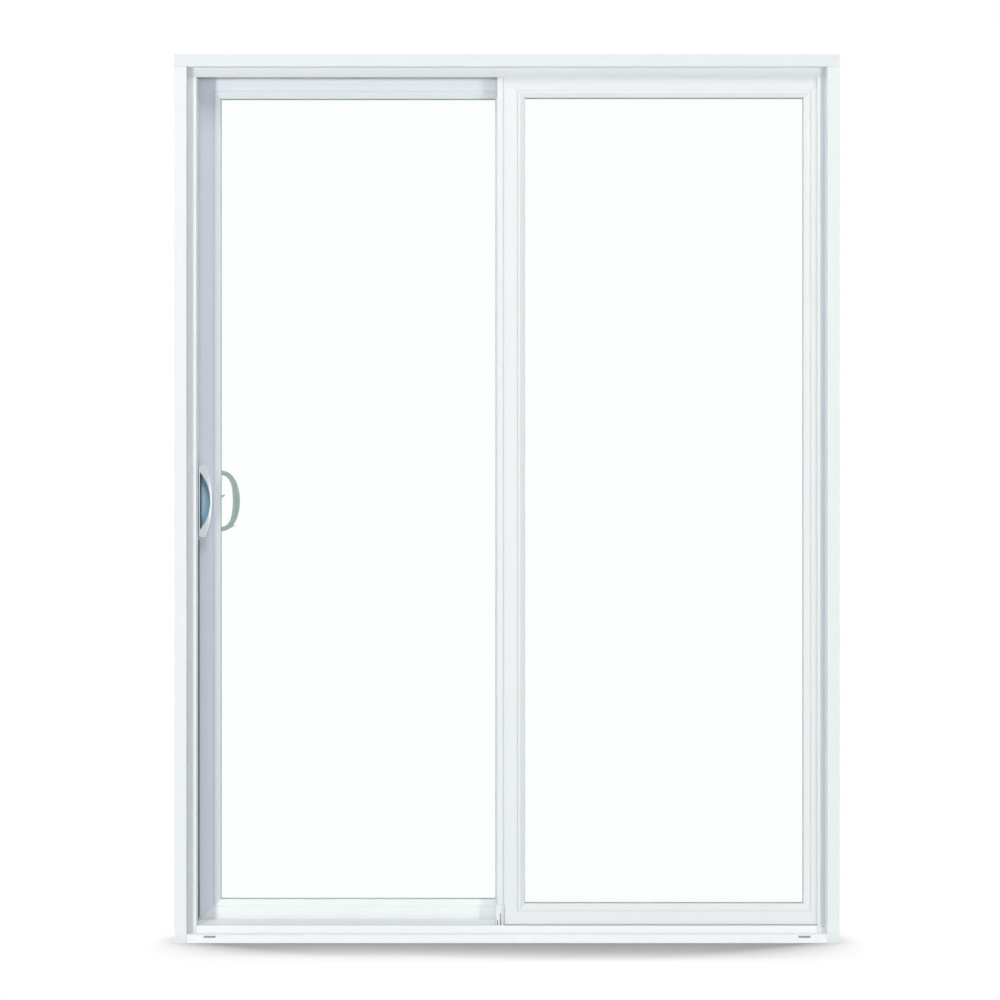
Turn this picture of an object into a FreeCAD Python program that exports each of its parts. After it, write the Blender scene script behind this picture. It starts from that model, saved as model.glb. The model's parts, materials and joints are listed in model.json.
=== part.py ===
"""Two-panel sliding glass patio door in white vinyl.

Axes: +X to the right seen from outside, +Y to the inside of the house, +Z up.
The origin is at the middle of the sill's underside.
Depths are counted from the outer face of the frame, so a depth d lies at y = d - unit_depth / 2.
"Reach" is a distance in from the outer edge of the frame, towards the middle of the opening.
"""
import FreeCAD, Part
import math
import os
import Sketcher
from types import SimpleNamespace

Vector = FreeCAD.Vector
Rotation = FreeCAD.Rotation

doc = FreeCAD.newDocument("SlidingPatioDoor")
nodes = []


# Driving dimensions in millimetres: name, value, what it is.
DIMENSIONS = (
    ("unit_width", 1511, "overall width of the frame"),
    ("unit_height", 2019, "overall height of the frame"),
    ("back_box", 20, "thickness of the closed box along the frame's outer edge"),
    ("flange_width", 28, "width of the outer face of head and jambs"),
    ("stop_depth", 16, "depth of the stop's face behind the outer face"),
    ("stop_wall", 6, "thickness of the stop"),
    ("stop_reach", 49, "reach of the stop and of the inner leg"),
    ("rib_wall", 3, "thickness of the rib between the two panels"),
    ("rib_reach", 45, "reach of that rib and of the snap-in covers"),
    ("leg_wall", 13, "thickness of the inner leg"),
    ("slide_gap", 5, "clearance in front of and behind the sliding panel"),
    ("sill_nose", 20, "height of the sill's front edge"),
    ("sill_fall", 2, "rise of the sill's nose from its front edge to the stop"),
    ("sill_stop", 38.5, "height of the sill's stop"),
    ("sill_seat", 28.6, "height of the seat under the fixed panel"),
    ("sill_rib", 47, "height of the sill's rib between the panels"),
    ("sill_floor", 20, "height of the floor of the sliding channel"),
    ("sill_leg", 49, "height of the sill's inner leg"),
    ("edge_radius", 1.5, "rounding of the vinyl's exposed long edges"),
    ("nose_radius", 3, "rounding of the sill's nose"),
    ("sash_depth", 34, "depth of a panel"),
    ("sash_box", 42, "width of a sash member without its bead"),
    ("bead_width", 16, "width of the glazing bead"),
    ("bead_depth", 7, "depth of the glazing bead"),
    ("bead_edge", 2.5, "thickness of the bead's thin edge on the glass"),
    ("bead_flat", 6, "width of the bead's flat part"),
    ("bead_groove", 1.2, "width and depth of the groove between bead and sash"),
    ("pane_thickness", 3, "thickness of one sheet of glass"),
    ("air_space", 13, "space between the two sheets"),
    ("glass_bite", 12, "depth of glass behind the bead"),
    ("spacer_width", 7, "width of the spacer bar between the sheets"),
    ("fixed_side_gap", 1, "gap beside the fixed panel"),
    ("fixed_head_gap", 16, "gap above the fixed panel"),
    ("fixed_meeting", 18.5, "distance of the fixed meeting stile's edge left of the middle"),
    ("sliding_meeting", 32.4, "distance of the sliding meeting stile's edge right of the middle"),
    ("lock_edge", 40.2, "reach of the sliding panel's lock edge when closed"),
    ("sliding_head_gap", 13, "gap above the sliding panel"),
    ("sliding_sill_gap", 13, "gap between the sliding panel and the channel floor"),
    ("interlock_wall", 3.5, "thickness of the interlock strip on the fixed stile's edge"),
    ("interlock_lip", 2, "thickness of the interlock strips' lips"),
    ("interlock_cover", 9.5, "width of the fixed interlock over the stile's faces"),
    ("sliding_lip_cover", 8, "width of the sliding interlock's lip over its stile"),
    ("cover_gap", 0.3, "gap at the ends of the snap-in covers"),
    ("plug_width", 18.5, "width of the plug at the foot of the fixed interlock"),
    ("plug_overlap", 3, "how far that plug covers the sill filler"),
    ("plug_height", 46, "height of that plug above the sill's stop"),
    ("plug_slot_width", 2.4, "width of the slots in that plug"),
    ("plug_slot_short", 13, "height of the plug's left slot"),
    ("plug_slot_tall", 31, "height of the plug's right slot"),
    ("plug_slot_edge", 2, "distance of the left slot from the plug's left edge"),
    ("plug_slot_pitch", 8, "distance between the two slots"),
    ("liner_wall", 10, "thickness of the liner in the lock jamb's channel"),
    ("rail_base_width", 18, "width of the roller rail's foot"),
    ("rail_base_height", 2, "height of the roller rail's foot"),
    ("rail_web", 3, "thickness of the roller rail"),
    ("rail_height", 8, "height of the roller rail above the channel floor"),
    ("wheel_radius", 14, "radius of the roller"),
    ("wheel_width", 8, "width of the roller"),
    ("wheel_clearance", 0.3, "gap between roller and rail"),
    ("axle_radius", 3, "radius of the roller's axle"),
    ("housing_length", 90, "length of the roller housing"),
    ("housing_width", 18, "width of the roller housing"),
    ("housing_height", 30, "height of the roller housing"),
    ("housing_wall", 2, "sheet thickness of the roller housing"),
    ("housing_inset", 75, "distance of a roller from the edge of the panel"),
    ("handle_height", 1005, "height of the handles' middle above the floor"),
    ("handle_backset", 33.5, "distance of the inside handle's middle from the lock edge"),
    ("pull_backset", 10.3, "distance of the outside pull's straight edge from the lock edge"),
    ("pull_width", 31.4, "width of the outside pull at its middle"),
    ("pull_end_width", 16, "width of the outside pull at its ends"),
    ("pull_height", 166, "height of the outside pull"),
    ("pull_projection", 18, "how far the outside pull stands off its stile"),
    ("pull_rim", 3, "width of the rim beside the recess on the straight edge"),
    ("pull_recess", 14, "depth of the outside pull's finger recess"),
    ("recess_width", 24, "width of the finger recess at its middle"),
    ("recess_height", 132, "height of the finger recess"),
    ("pull_corner", 6, "corner radius of the outside pull"),
    ("pull_edge", 1.5, "rounding of the outside pull's front edge"),
    ("plate_width", 36, "width of the inside handle plate"),
    ("plate_height", 205, "height of the inside handle plate"),
    ("plate_thickness", 6, "thickness of the inside handle plate"),
    ("plate_corner", 10, "corner radius of the inside handle plate"),
    ("plate_edge", 2, "rounding of the inside handle plate's front edge"),
    ("grip_chord", 152, "distance between the ends of the inside grip"),
    ("grip_bow", 68, "how far the inside grip bows out from its ends"),
    ("grip_tilt", 36, "angle of the grip's plane from the door, in degrees"),
    ("grip_sweep", 93, "angle of the grip's arc each way from its middle, in degrees"),
    ("grip_bevel", 2.6, "bevel along the grip's edges"),
    ("grip_width", 15.3, "width of the grip at its middle"),
    ("grip_end_width", 9.5, "width of the grip at its ends"),
    ("grip_thickness", 10, "thickness of the grip at its middle"),
    ("grip_end_thickness", 8.5, "thickness of the grip at its ends"),
    ("foot_radius", 9, "radius of the grip's feet on the plate"),
    ("foot_neck", 6.5, "radius of the grip's feet at their outer end"),
    ("foot_height", 10, "height of the grip's feet"),
    ("latch_drop", 1.5, "height of the latch lever's pivot below the handles' middle"),
    ("latch_hub", 9, "radius of the latch lever's hub"),
    ("latch_depth", 7, "thickness of the latch lever"),
    ("latch_length", 35, "length of the latch lever from its pivot"),
    ("latch_width", 9, "width of the latch lever's arm at its hub"),
    ("latch_tip", 3.2, "width of the latch lever's arm at its tip"),
    ("latch_rise", 25, "angle of the lever above level when it is at rest, in degrees"),
    ("latch_gap", 0.3, "gap between the latch lever and its plate"),
    ("faceplate_height", 200, "height of the lock's face plate"),
    ("faceplate_width", 18, "width of the lock's face plate and of the keeper"),
    ("faceplate_thickness", 1.5, "thickness of the lock's face plate"),
    ("keeper_height", 120, "height of the keeper on the lock jamb"),
    ("keeper_thickness", 2, "thickness of the keeper"),
    ("open_clearance", 11.6, "gap between the outside pull and the fixed interlock, panel open"),
    ("bumper_gap", 5.6, "gap between the open panel and its bumper"),
    ("bumper_length", 24, "length of the bumper"),
    ("bumper_drop", 25, "how far the bumper hangs below the head's back box"),
    ("bumper_width", 30, "width of the bumper"),
    ("weep_length", 27, "length of a weep slot"),
    ("weep_height", 5, "height of a weep slot"),
    ("weep_level", 15, "height of the weep slots above the floor"),
    ("weep_inset", 80, "distance of a weep slot's middle from the side of the frame"),
    ("weep_depth", 6, "depth of a weep slot"),
    ("weep_cover", 3, "thickness of the flap in a weep slot"),
    ("screw_hole", 2.5, "radius of the holes for the installation screws"),
    ("screw_pitch", 500, "spacing of the screw holes up the jamb"),
    ("head_screw_pitch", 250, "spacing of the screw holes along the head"),
)


class Size:
    """A length, or an angle in degrees: its number and the sheet expression that gives it."""

    def __init__(self, number, text):
        self.number = number
        self.text = text

    def __add__(self, other):
        other = as_size(other)
        return Size(self.number + other.number, f"({self.text} + {other.text})")

    def __sub__(self, other):
        other = as_size(other)
        return Size(self.number - other.number, f"({self.text} - {other.text})")

    def __mul__(self, other):
        other = as_size(other)
        return Size(self.number * other.number, f"({self.text} * {other.text})")

    def __truediv__(self, other):
        other = as_size(other)
        return Size(self.number / other.number, f"({self.text} / {other.text})")

    def __neg__(self):
        return Size(-self.number, f"(-1 * {self.text})")


def as_size(value):
    """Turn a plain number into a Size."""
    if isinstance(value, Size):
        return value
    return Size(float(value), repr(float(value)))


def write_sheet():
    """Fill the spreadsheet and return its cells as Size values by name."""
    sheet = doc.addObject("Spreadsheet::Sheet", "Sizes")
    cells = SimpleNamespace()
    for row, (name, value, meaning) in enumerate(DIMENSIONS, start=1):
        sheet.set(f"A{row}", meaning)
        sheet.set(f"B{row}", str(value))
        sheet.setAlias(f"B{row}", name)
        setattr(cells, name, Size(float(value), f"Sizes.{name}"))
    doc.recompute()
    return cells


d = write_sheet()
ZERO = as_size(0)


# Depths behind the outer face of the frame.
stop_back = d.stop_depth + d.stop_wall
rib_front = stop_back + d.sash_depth
rib_back = rib_front + d.rib_wall
slide_front = rib_back + d.slide_gap
slide_back = slide_front + d.sash_depth
leg_front = slide_back + d.slide_gap
unit_depth = leg_front + d.leg_wall
slide_middle = slide_front + d.sash_depth / 2

# Places in the frame's own axes.
half_width = d.unit_width / 2
sash_face = d.sash_box + d.bead_width
box_top = d.unit_height - d.back_box
rib_top = d.unit_height - d.rib_reach
stop_top = d.unit_height - d.stop_reach

fixed_left = -d.fixed_meeting
fixed_right = half_width - d.back_box - d.fixed_side_gap
fixed_bottom = d.sill_seat
fixed_top = box_top - d.fixed_head_gap
sliding_left = d.lock_edge - half_width
sliding_right = d.sliding_meeting
sliding_bottom = d.sill_floor + d.sliding_sill_gap
sliding_top = box_top - d.sliding_head_gap
handle_x = sliding_left + d.handle_backset
pull_x = sliding_left + d.pull_backset
interlock_edge = fixed_left - d.interlock_wall
slide_travel = interlock_edge - d.open_clearance - (pull_x + d.pull_width)


def at_depth(depth):
    """The y of a depth behind the outer face."""
    return depth - unit_depth / 2


# Building blocks

def bind(thing, name, value):
    """Set one property from the sheet."""
    value = as_size(value)
    thing.setExpression(name, value.text)


def place(thing, x=ZERO, y=ZERO, z=ZERO, turn=Rotation()):
    """Put a sub-part in the frame: turned first, then moved."""
    thing.Placement = FreeCAD.Placement(Vector(0, 0, 0), turn)
    bind(thing, "Placement.Base.x", x)
    bind(thing, "Placement.Base.y", y)
    bind(thing, "Placement.Base.z", z)
    return thing


def about(axis, angle):
    """A rotation about one axis, in degrees."""
    return Rotation(axis, angle)


def cosine(angle):
    """The cosine of an angle in degrees."""
    return Size(math.cos(math.radians(angle.number)), f"cos({angle.text})")


def sine(angle):
    """The sine of an angle in degrees."""
    return Size(math.sin(math.radians(angle.number)), f"sin({angle.text})")


ABOUT_X = Vector(1, 0, 0)
ABOUT_Y = Vector(0, 1, 0)
ABOUT_Z = Vector(0, 0, 1)


def new_body(label):
    """A sub-part made of sketches and features."""
    body = doc.addObject("PartDesign::Body", label)
    body.Label = label
    nodes.append(body)
    return body


def own_plane(body, role):
    """One of the body's own origin planes."""
    for feature in body.Origin.OriginFeatures:
        if feature.Role == role:
            return feature
    raise ValueError(role)


def new_sketch(body, name, role, offset=None):
    """An empty sketch on one of the body's planes, moved along the plane's normal by offset."""
    sketch = body.newObject("Sketcher::SketchObject", f"{body.Name}_{name}")
    sketch.AttachmentSupport = (own_plane(body, role), "")
    sketch.MapMode = "FlatFace"
    if offset is not None:
        bind(sketch, "AttachmentOffset.Base.z", offset)
    return sketch


def dimension(sketch, kind, element, point, value):
    """Dimension a point of the sketch from its origin, driven by the sheet."""
    value = as_size(value)
    if point:
        constraint = Sketcher.Constraint(kind, -1, 1, element, point, value.number)
    else:
        constraint = Sketcher.Constraint(kind, element, value.number)
    index = sketch.addConstraint(constraint)
    sketch.setExpression(f"Constraints[{index}]", value.text)


def add_loop(sketch, points):
    """A closed outline of straight lines through points given as pairs of sizes."""
    corners = []
    for across, up in points:
        corners.append((as_size(across), as_size(up)))
    first = sketch.GeometryCount
    count = len(corners)
    for index in range(count):
        start = corners[index]
        end = corners[(index + 1) % count]
        line = Part.LineSegment(
            Vector(start[0].number, start[1].number, 0),
            Vector(end[0].number, end[1].number, 0),
        )
        sketch.addGeometry(line, False)
    for index in range(count):
        after = first + (index + 1) % count
        sketch.addConstraint(Sketcher.Constraint("Coincident", first + index, 2, after, 1))
    for index, (across, up) in enumerate(corners):
        dimension(sketch, "DistanceX", first + index, 1, across)
        dimension(sketch, "DistanceY", first + index, 1, up)


def add_arched_loop(sketch, corners, crown):
    """A closed outline of straight lines, with an arc from the last corner to the first.

    The arc's ends mirror each other about the sketch's own level axis, and crown is how
    far across its middle lies.
    """
    rise = corners[0][1]
    sagitta = crown - corners[0][0]
    radius = (rise * rise + sagitta * sagitta) / (sagitta * 2)
    centre = crown.number - radius.number
    first = sketch.GeometryCount
    for start, end in zip(corners, corners[1:]):
        line = Part.LineSegment(
            Vector(start[0].number, start[1].number, 0),
            Vector(end[0].number, end[1].number, 0),
        )
        sketch.addGeometry(line, False)
    reach = math.atan2(rise.number, corners[0][0].number - centre)
    circle = Part.Circle(Vector(centre, 0, 0), ABOUT_Z, radius.number)
    arc = sketch.addGeometry(Part.ArcOfCircle(circle, -reach, reach), False)
    for index in range(first, arc):
        sketch.addConstraint(Sketcher.Constraint("Coincident", index, 2, index + 1, 1))
    sketch.addConstraint(Sketcher.Constraint("Coincident", arc, 2, first, 1))
    for index, (across, up) in enumerate(corners):
        dimension(sketch, "DistanceX", first + index, 1, across)
        dimension(sketch, "DistanceY", first + index, 1, up)
    dimension(sketch, "Radius", arc, 0, radius)


def add_circle(sketch, across, up, radius):
    """A circle with its centre given from the sketch's origin."""
    across = as_size(across)
    up = as_size(up)
    radius = as_size(radius)
    circle = Part.Circle(Vector(across.number, up.number, 0), ABOUT_Z, radius.number)
    index = sketch.addGeometry(circle, False)
    dimension(sketch, "DistanceX", index, 3, across)
    dimension(sketch, "DistanceY", index, 3, up)
    dimension(sketch, "Radius", index, 0, radius)


def rectangle(left, bottom, right, top):
    """Corner points of a rectangle."""
    return [(left, bottom), (right, bottom), (right, top), (left, top)]


def outline(body, name, role, loops, offset=None):
    """A sketch holding one or more closed outlines."""
    sketch = new_sketch(body, name, role, offset)
    for points in loops:
        add_loop(sketch, points)
    return sketch


def pad(body, name, sketch, length, symmetric=False, reverse=False):
    """Extrude a sketch into solid."""
    feature = body.newObject("PartDesign::Pad", f"{body.Name}_{name}")
    feature.Profile = sketch
    bind(feature, "Length", length)
    feature.SideType = "Symmetric" if symmetric else "One side"
    feature.Reversed = reverse
    return feature


def pocket(body, name, sketch, length=None, symmetric=False, reverse=False):
    """Cut a sketch out of the solid, right through where no length is given."""
    feature = body.newObject("PartDesign::Pocket", f"{body.Name}_{name}")
    feature.Profile = sketch
    feature.SideType = "Symmetric" if symmetric else "One side"
    if length is None:
        feature.Type = "ThroughAll"
    else:
        bind(feature, "Length", length)
    feature.Reversed = reverse
    return feature


def round_edges(body, name, base, radius, wanted):
    """Fillet those edges of a feature that the function wanted picks."""
    doc.recompute()
    picked = []
    for number, edge in enumerate(base.Shape.Edges, start=1):
        if wanted(edge):
            picked.append(f"Edge{number}")
    feature = body.newObject("PartDesign::Fillet", f"{body.Name}_{name}")
    feature.Base = (base, picked)
    bind(feature, "Radius", radius)
    return feature


def runs_along(edge, axis):
    """Whether an edge is straight and parallel to an axis."""
    if not isinstance(edge.Curve, Part.Line):
        return False
    return abs(edge.Curve.Direction.dot(axis)) > 0.999


def long_edges(corners):
    """A picker for the long edges that run up from the given corners of a section."""
    def wanted(edge):
        if not runs_along(edge, ABOUT_Z):
            return False
        middle = edge.CenterOfMass
        for across, up in corners:
            if math.hypot(middle.x - across.number, middle.y - up.number) < 0.01:
                return True
        return False

    return wanted


def box(label, length, width, height):
    """A plain block that isn't listed as a sub-part."""
    block = doc.addObject("Part::Box", label)
    bind(block, "Length", length)
    bind(block, "Width", width)
    bind(block, "Height", height)
    return block


def box_between(label, low, high):
    """A block from its lowest corner to its highest corner."""
    block = box(label, high[0] - low[0], high[1] - low[1], high[2] - low[2])
    return place(block, low[0], low[1], low[2])


def cylinder(label, radius, height, x, y, z, turn=Rotation()):
    """A round bar that isn't listed as a sub-part."""
    bar = doc.addObject("Part::Cylinder", label)
    bind(bar, "Radius", radius)
    bind(bar, "Height", height)
    return place(bar, x, y, z, turn)


def cut(label, base, tool):
    """One solid less another."""
    result = doc.addObject("Part::Cut", label)
    result.Base = base
    result.Tool = tool
    return result


def fuse(label, shapes):
    """Several solids joined into one."""
    result = doc.addObject("Part::MultiFuse", label)
    result.Shapes = shapes
    return result


def group(label, shapes):
    """Several like solids that share a node."""
    result = doc.addObject("Part::Compound", label)
    result.Links = shapes
    return result


def listed(thing):
    """Count an object as a sub-part of the door."""
    thing.Label = thing.Name
    nodes.append(thing)
    return thing


# The outer frame

def frame_outline():
    """The frame's section: reach across, depth behind the outer face up."""
    return [
        (ZERO, ZERO),
        (d.flange_width, ZERO),
        (d.flange_width, d.stop_depth),
        (d.stop_reach, d.stop_depth),
        (d.stop_reach, stop_back),
        (d.back_box, stop_back),
        (d.back_box, rib_front),
        (d.rib_reach, rib_front),
        (d.rib_reach, rib_back),
        (d.back_box, rib_back),
        (d.back_box, leg_front),
        (d.stop_reach, leg_front),
        (d.stop_reach, unit_depth),
        (ZERO, unit_depth),
    ]


# The frame's rounded edges: the flange, the stop and the inner leg, where they face inwards.
frame_edges = long_edges([
    (d.flange_width, ZERO),
    (d.stop_reach, d.stop_depth),
    (d.stop_reach, unit_depth),
])


def cope_loops(edge, inward):
    """The teeth of the frame's section that a butting member is coped round.

    Depth runs across; edge is where the back box ends and inward is +1 or -1 up the sketch.
    """
    def up(reach):
        return edge + (reach - d.back_box) * inward

    outer_tooth = [
        (ZERO, edge),
        (ZERO, up(d.flange_width)),
        (d.stop_depth, up(d.flange_width)),
        (d.stop_depth, up(d.stop_reach)),
        (stop_back, up(d.stop_reach)),
        (stop_back, edge),
    ]
    middle_tooth = rectangle(rib_front, edge, rib_back, up(d.rib_reach))
    inner_tooth = rectangle(leg_front, edge, unit_depth, up(d.stop_reach))
    return [outer_tooth, middle_tooth, inner_tooth]


def swapped(loops):
    """The same outlines with across and up exchanged."""
    result = []
    for points in loops:
        result.append([(up, across) for across, up in points])
    return result


def make_head():
    """The head runs over both jambs and is drilled for the installation screws."""
    body = new_body("head")
    section = outline(body, "section", "XY_Plane", [frame_outline()])
    length = pad(body, "length", section, d.unit_width, symmetric=True)
    round_edges(body, "edges", length, d.edge_radius, frame_edges)
    holes = new_sketch(body, "screw_holes", "YZ_Plane")
    for step in (1, 2):
        add_circle(holes, slide_middle, d.head_screw_pitch * step, d.screw_hole)
    body.Tip = pocket(body, "screws", holes, d.back_box, reverse=True)
    place(body, ZERO, at_depth(ZERO), d.unit_height, about(ABOUT_Y, 90))


def make_jamb(label, side):
    """A jamb butts up under the head; side is -1 for the left one and +1 for the right one."""
    body = new_body(label)
    section = outline(body, "section", "XY_Plane", [frame_outline()])
    length = pad(body, "length", section, box_top, symmetric=True)
    round_edges(body, "edges", length, d.edge_radius, frame_edges)
    top = box_top / 2 * -side
    cope = outline(body, "cope", "YZ_Plane", cope_loops(top, side))
    body.Tip = pocket(body, "cope_cut", cope, symmetric=True)
    if side > 0:
        holes = new_sketch(body, "screw_holes", "YZ_Plane")
        for step in (-1.5, -0.5, 0.5, 1.5):
            add_circle(holes, slide_middle, d.screw_pitch * step, d.screw_hole)
        body.Tip = pocket(body, "screws", holes, d.back_box, reverse=True)
    turn = about(ABOUT_Y, 180) if side > 0 else Rotation()
    place(body, half_width * side, at_depth(ZERO), box_top / 2, turn)


def make_sill():
    """The sill lies between the jambs, coped round their section, with weep slots in its nose."""
    body = new_body("sill")
    section = outline(body, "section", "YZ_Plane", [[
        (ZERO, ZERO),
        (ZERO, d.sill_nose),
        (d.stop_depth, d.sill_nose + d.sill_fall),
        (d.stop_depth, d.sill_stop),
        (stop_back, d.sill_stop),
        (stop_back, d.sill_seat),
        (rib_front, d.sill_seat),
        (rib_front, d.sill_rib),
        (rib_back, d.sill_rib),
        (rib_back, d.sill_floor),
        (leg_front, d.sill_floor),
        (leg_front, d.sill_leg),
        (unit_depth, d.sill_leg),
        (unit_depth, ZERO),
    ]])
    end = half_width - d.back_box
    length = pad(body, "length", section, end * 2, symmetric=True)
    round_edges(body, "nose", length, d.nose_radius, is_sill_nose)
    left = swapped(cope_loops(-end, 1))
    right = swapped(cope_loops(end, -1))
    cope = outline(body, "cope", "XY_Plane", left + right)
    pocket(body, "cope_cut", cope, symmetric=True)
    slots = []
    for side in (-1, 1):
        middle = (half_width - d.weep_inset) * side
        slots.append(rectangle(
            middle - d.weep_length / 2,
            d.weep_level - d.weep_height / 2,
            middle + d.weep_length / 2,
            d.weep_level + d.weep_height / 2,
        ))
    weeps = outline(body, "weep_slots", "XZ_Plane", slots)
    body.Tip = pocket(body, "weeps", weeps, d.weep_depth)
    place(body, ZERO, at_depth(ZERO), ZERO)


def is_sill_nose(edge):
    """The two long edges of the sill's front face."""
    if not runs_along(edge, ABOUT_X):
        return False
    return abs(edge.CenterOfMass.y) < 0.01


def make_weep_covers():
    """A flap closes the back of each weep slot."""
    covers = []
    for side, name in ((-1, "left"), (1, "right")):
        middle = (half_width - d.weep_inset) * side
        low = (
            middle - d.weep_length / 2,
            at_depth(d.weep_depth - d.weep_cover),
            d.weep_level - d.weep_height / 2,
        )
        high = (
            middle + d.weep_length / 2,
            at_depth(d.weep_depth),
            d.weep_level + d.weep_height / 2,
        )
        covers.append(box_between(f"weep_cover_{name}", low, high))
    listed(group("weep_covers", covers))


def make_covers():
    """Snap-in covers close the fixed panel's pocket on the sliding side."""
    jamb_cover_edge = d.rib_reach - half_width
    low = (d.back_box - half_width, at_depth(stop_back), d.sill_seat)
    high = (jamb_cover_edge, at_depth(rib_front), box_top)
    listed(box_between("lock_jamb_filler", low, high))

    meeting_edge = interlock_edge - d.cover_gap
    low = (jamb_cover_edge, at_depth(stop_back), rib_top)
    high = (meeting_edge, at_depth(rib_front), box_top)
    listed(box_between("head_filler", low, high))

    body = new_body("sill_filler")
    section = outline(body, "section", "YZ_Plane", [[
        (stop_back, d.sill_seat),
        (stop_back, d.sill_stop),
        (rib_front, d.sill_rib),
        (rib_front, d.sill_seat),
    ]])
    pad(body, "length", section, meeting_edge - jamb_cover_edge)
    place(body, jamb_cover_edge, at_depth(ZERO), ZERO)


def make_lock_jamb_liner():
    """The liner narrows the lock jamb's channel and carries the keeper."""
    left = d.back_box - half_width
    low = (left, at_depth(rib_back), d.sill_floor)
    high = (left + d.liner_wall, at_depth(leg_front), box_top)
    listed(box_between("lock_jamb_liner", low, high))

    face = left + d.liner_wall
    keeper_low = (
        face,
        at_depth(slide_middle - d.faceplate_width / 2),
        d.handle_height - d.keeper_height / 2,
    )
    keeper_high = (
        face + d.keeper_thickness,
        at_depth(slide_middle + d.faceplate_width / 2),
        d.handle_height + d.keeper_height / 2,
    )
    listed(box_between("keeper", keeper_low, keeper_high))


def make_roller_rail():
    """The roller rail stands in the sill's channel from the liner to the far jamb."""
    body = new_body("roller_rail")
    foot = d.rail_base_width / 2
    web = d.rail_web / 2
    section = outline(body, "section", "YZ_Plane", [[
        (-foot, ZERO),
        (foot, ZERO),
        (foot, d.rail_base_height),
        (web, d.rail_base_height),
        (web, d.rail_height),
        (-web, d.rail_height),
        (-web, d.rail_base_height),
        (-foot, d.rail_base_height),
    ]])
    start = d.back_box + d.liner_wall - half_width
    end = half_width - d.back_box
    length = pad(body, "length", section, end - start)
    body.Tip = round_edges(body, "top", length, d.rail_web / 4, is_rail_top)
    place(body, start, at_depth(slide_middle), d.sill_floor)


def is_rail_top(edge):
    """The two long edges along the top of the roller rail."""
    if not runs_along(edge, ABOUT_X):
        return False
    return abs(edge.CenterOfMass.z - d.rail_height.number) < 0.01


def make_open_stop():
    """A rubber block in the head's channel stops the panel when it is open."""
    start = sliding_right + d.interlock_wall + slide_travel + d.bumper_gap
    low = (start, at_depth(slide_middle - d.bumper_width / 2), box_top - d.bumper_drop)
    high = (start + d.bumper_length, at_depth(slide_middle + d.bumper_width / 2), box_top)
    listed(box_between("open_stop", low, high))


# The two glazed panels

# Turns that carry a member's own reach axis +X towards the middle of its panel.
TURNS = {
    "left": Rotation(),
    "bottom": about(ABOUT_Y, -90),
    "right": about(ABOUT_Y, 180),
    "top": about(ABOUT_Y, 90),
}


def mitre_loops(length, inner, outer):
    """Triangles that mitre both ends of a member between two reaches."""
    end = length / 2
    upper = [(outer, end - outer), (inner, end - inner), (inner, end), (outer, end)]
    lower = [(outer, outer - end), (inner, inner - end), (inner, -end), (outer, -end)]
    if inner.number == 0:
        upper.pop(1)
        lower.pop(1)
    return [upper, lower]


def panel_edges(panel, side):
    """Length of one member of a panel and the place of its outer edge."""
    left, right, bottom, top = panel.edges
    across = (left + right) / 2
    up = (bottom + top) / 2
    if side == "left":
        return top - bottom, left, up
    if side == "right":
        return top - bottom, right, up
    if side == "bottom":
        return right - left, across, bottom
    return right - left, across, top


def mitred_member(label, panel, side, section_points, inner, outer, rounded=()):
    """A straight member of a panel with mitred ends."""
    length, x, z = panel_edges(panel, side)
    body = new_body(label)
    section = outline(body, "section", "XY_Plane", [section_points])
    bar = pad(body, "length", section, length, symmetric=True)
    if rounded:
        round_edges(body, "edges", bar, d.edge_radius, long_edges(rounded))
    mitres = outline(body, "mitres", "XZ_Plane", mitre_loops(length, inner, outer))
    body.Tip = pocket(body, "mitre_cut", mitres, symmetric=True)
    place(body, x, at_depth(panel.front), z, TURNS[side])
    return body


def sash_section():
    """The sash: a box along the outside and a leg behind the glass."""
    leg_front_face = d.bead_depth + d.pane_thickness * 2 + d.air_space
    return [
        (ZERO, ZERO),
        (d.sash_box, ZERO),
        (d.sash_box, leg_front_face),
        (sash_face, leg_front_face),
        (sash_face, d.sash_depth),
        (ZERO, d.sash_depth),
    ]


# The rounded edges of a sash: outside edges on both faces, and the inner edge by the glass.
SASH_EDGES = [
    (ZERO, ZERO),
    (ZERO, d.sash_depth),
    (sash_face, d.sash_depth),
]


def bead_section():
    """The glazing bead: a groove and a flat next to the sash, then a fall to a thin edge."""
    return [
        (d.sash_box, d.bead_groove),
        (d.sash_box + d.bead_groove, d.bead_groove),
        (d.sash_box + d.bead_groove, ZERO),
        (d.sash_box + d.bead_flat, ZERO),
        (sash_face, d.bead_depth - d.bead_edge),
        (sash_face, d.bead_depth),
        (d.sash_box, d.bead_depth),
    ]


def make_glass(panel):
    """Two sheets of glass and the spacer bar between them."""
    left, right, bottom, top = panel.edges
    edge = sash_face - d.glass_bite
    fronts = (
        ("outer_pane", d.bead_depth),
        ("inner_pane", d.bead_depth + d.pane_thickness + d.air_space),
    )
    for name, depth in fronts:
        y = at_depth(panel.front + depth)
        low = (left + edge, y, bottom + edge)
        high = (right - edge, y + d.pane_thickness, top - edge)
        listed(box_between(f"{panel.name}_{name}", low, high))

    y = at_depth(panel.front + d.bead_depth + d.pane_thickness)
    whole = box_between(
        f"{panel.name}_spacer_outside",
        (left + edge, y, bottom + edge),
        (right - edge, y + d.air_space, top - edge),
    )
    inner = edge + d.spacer_width
    hole = box_between(
        f"{panel.name}_spacer_inside",
        (left + inner, y, bottom + inner),
        (right - inner, y + d.air_space, top - inner),
    )
    listed(cut(f"{panel.name}_glass_spacer", whole, hole))


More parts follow.
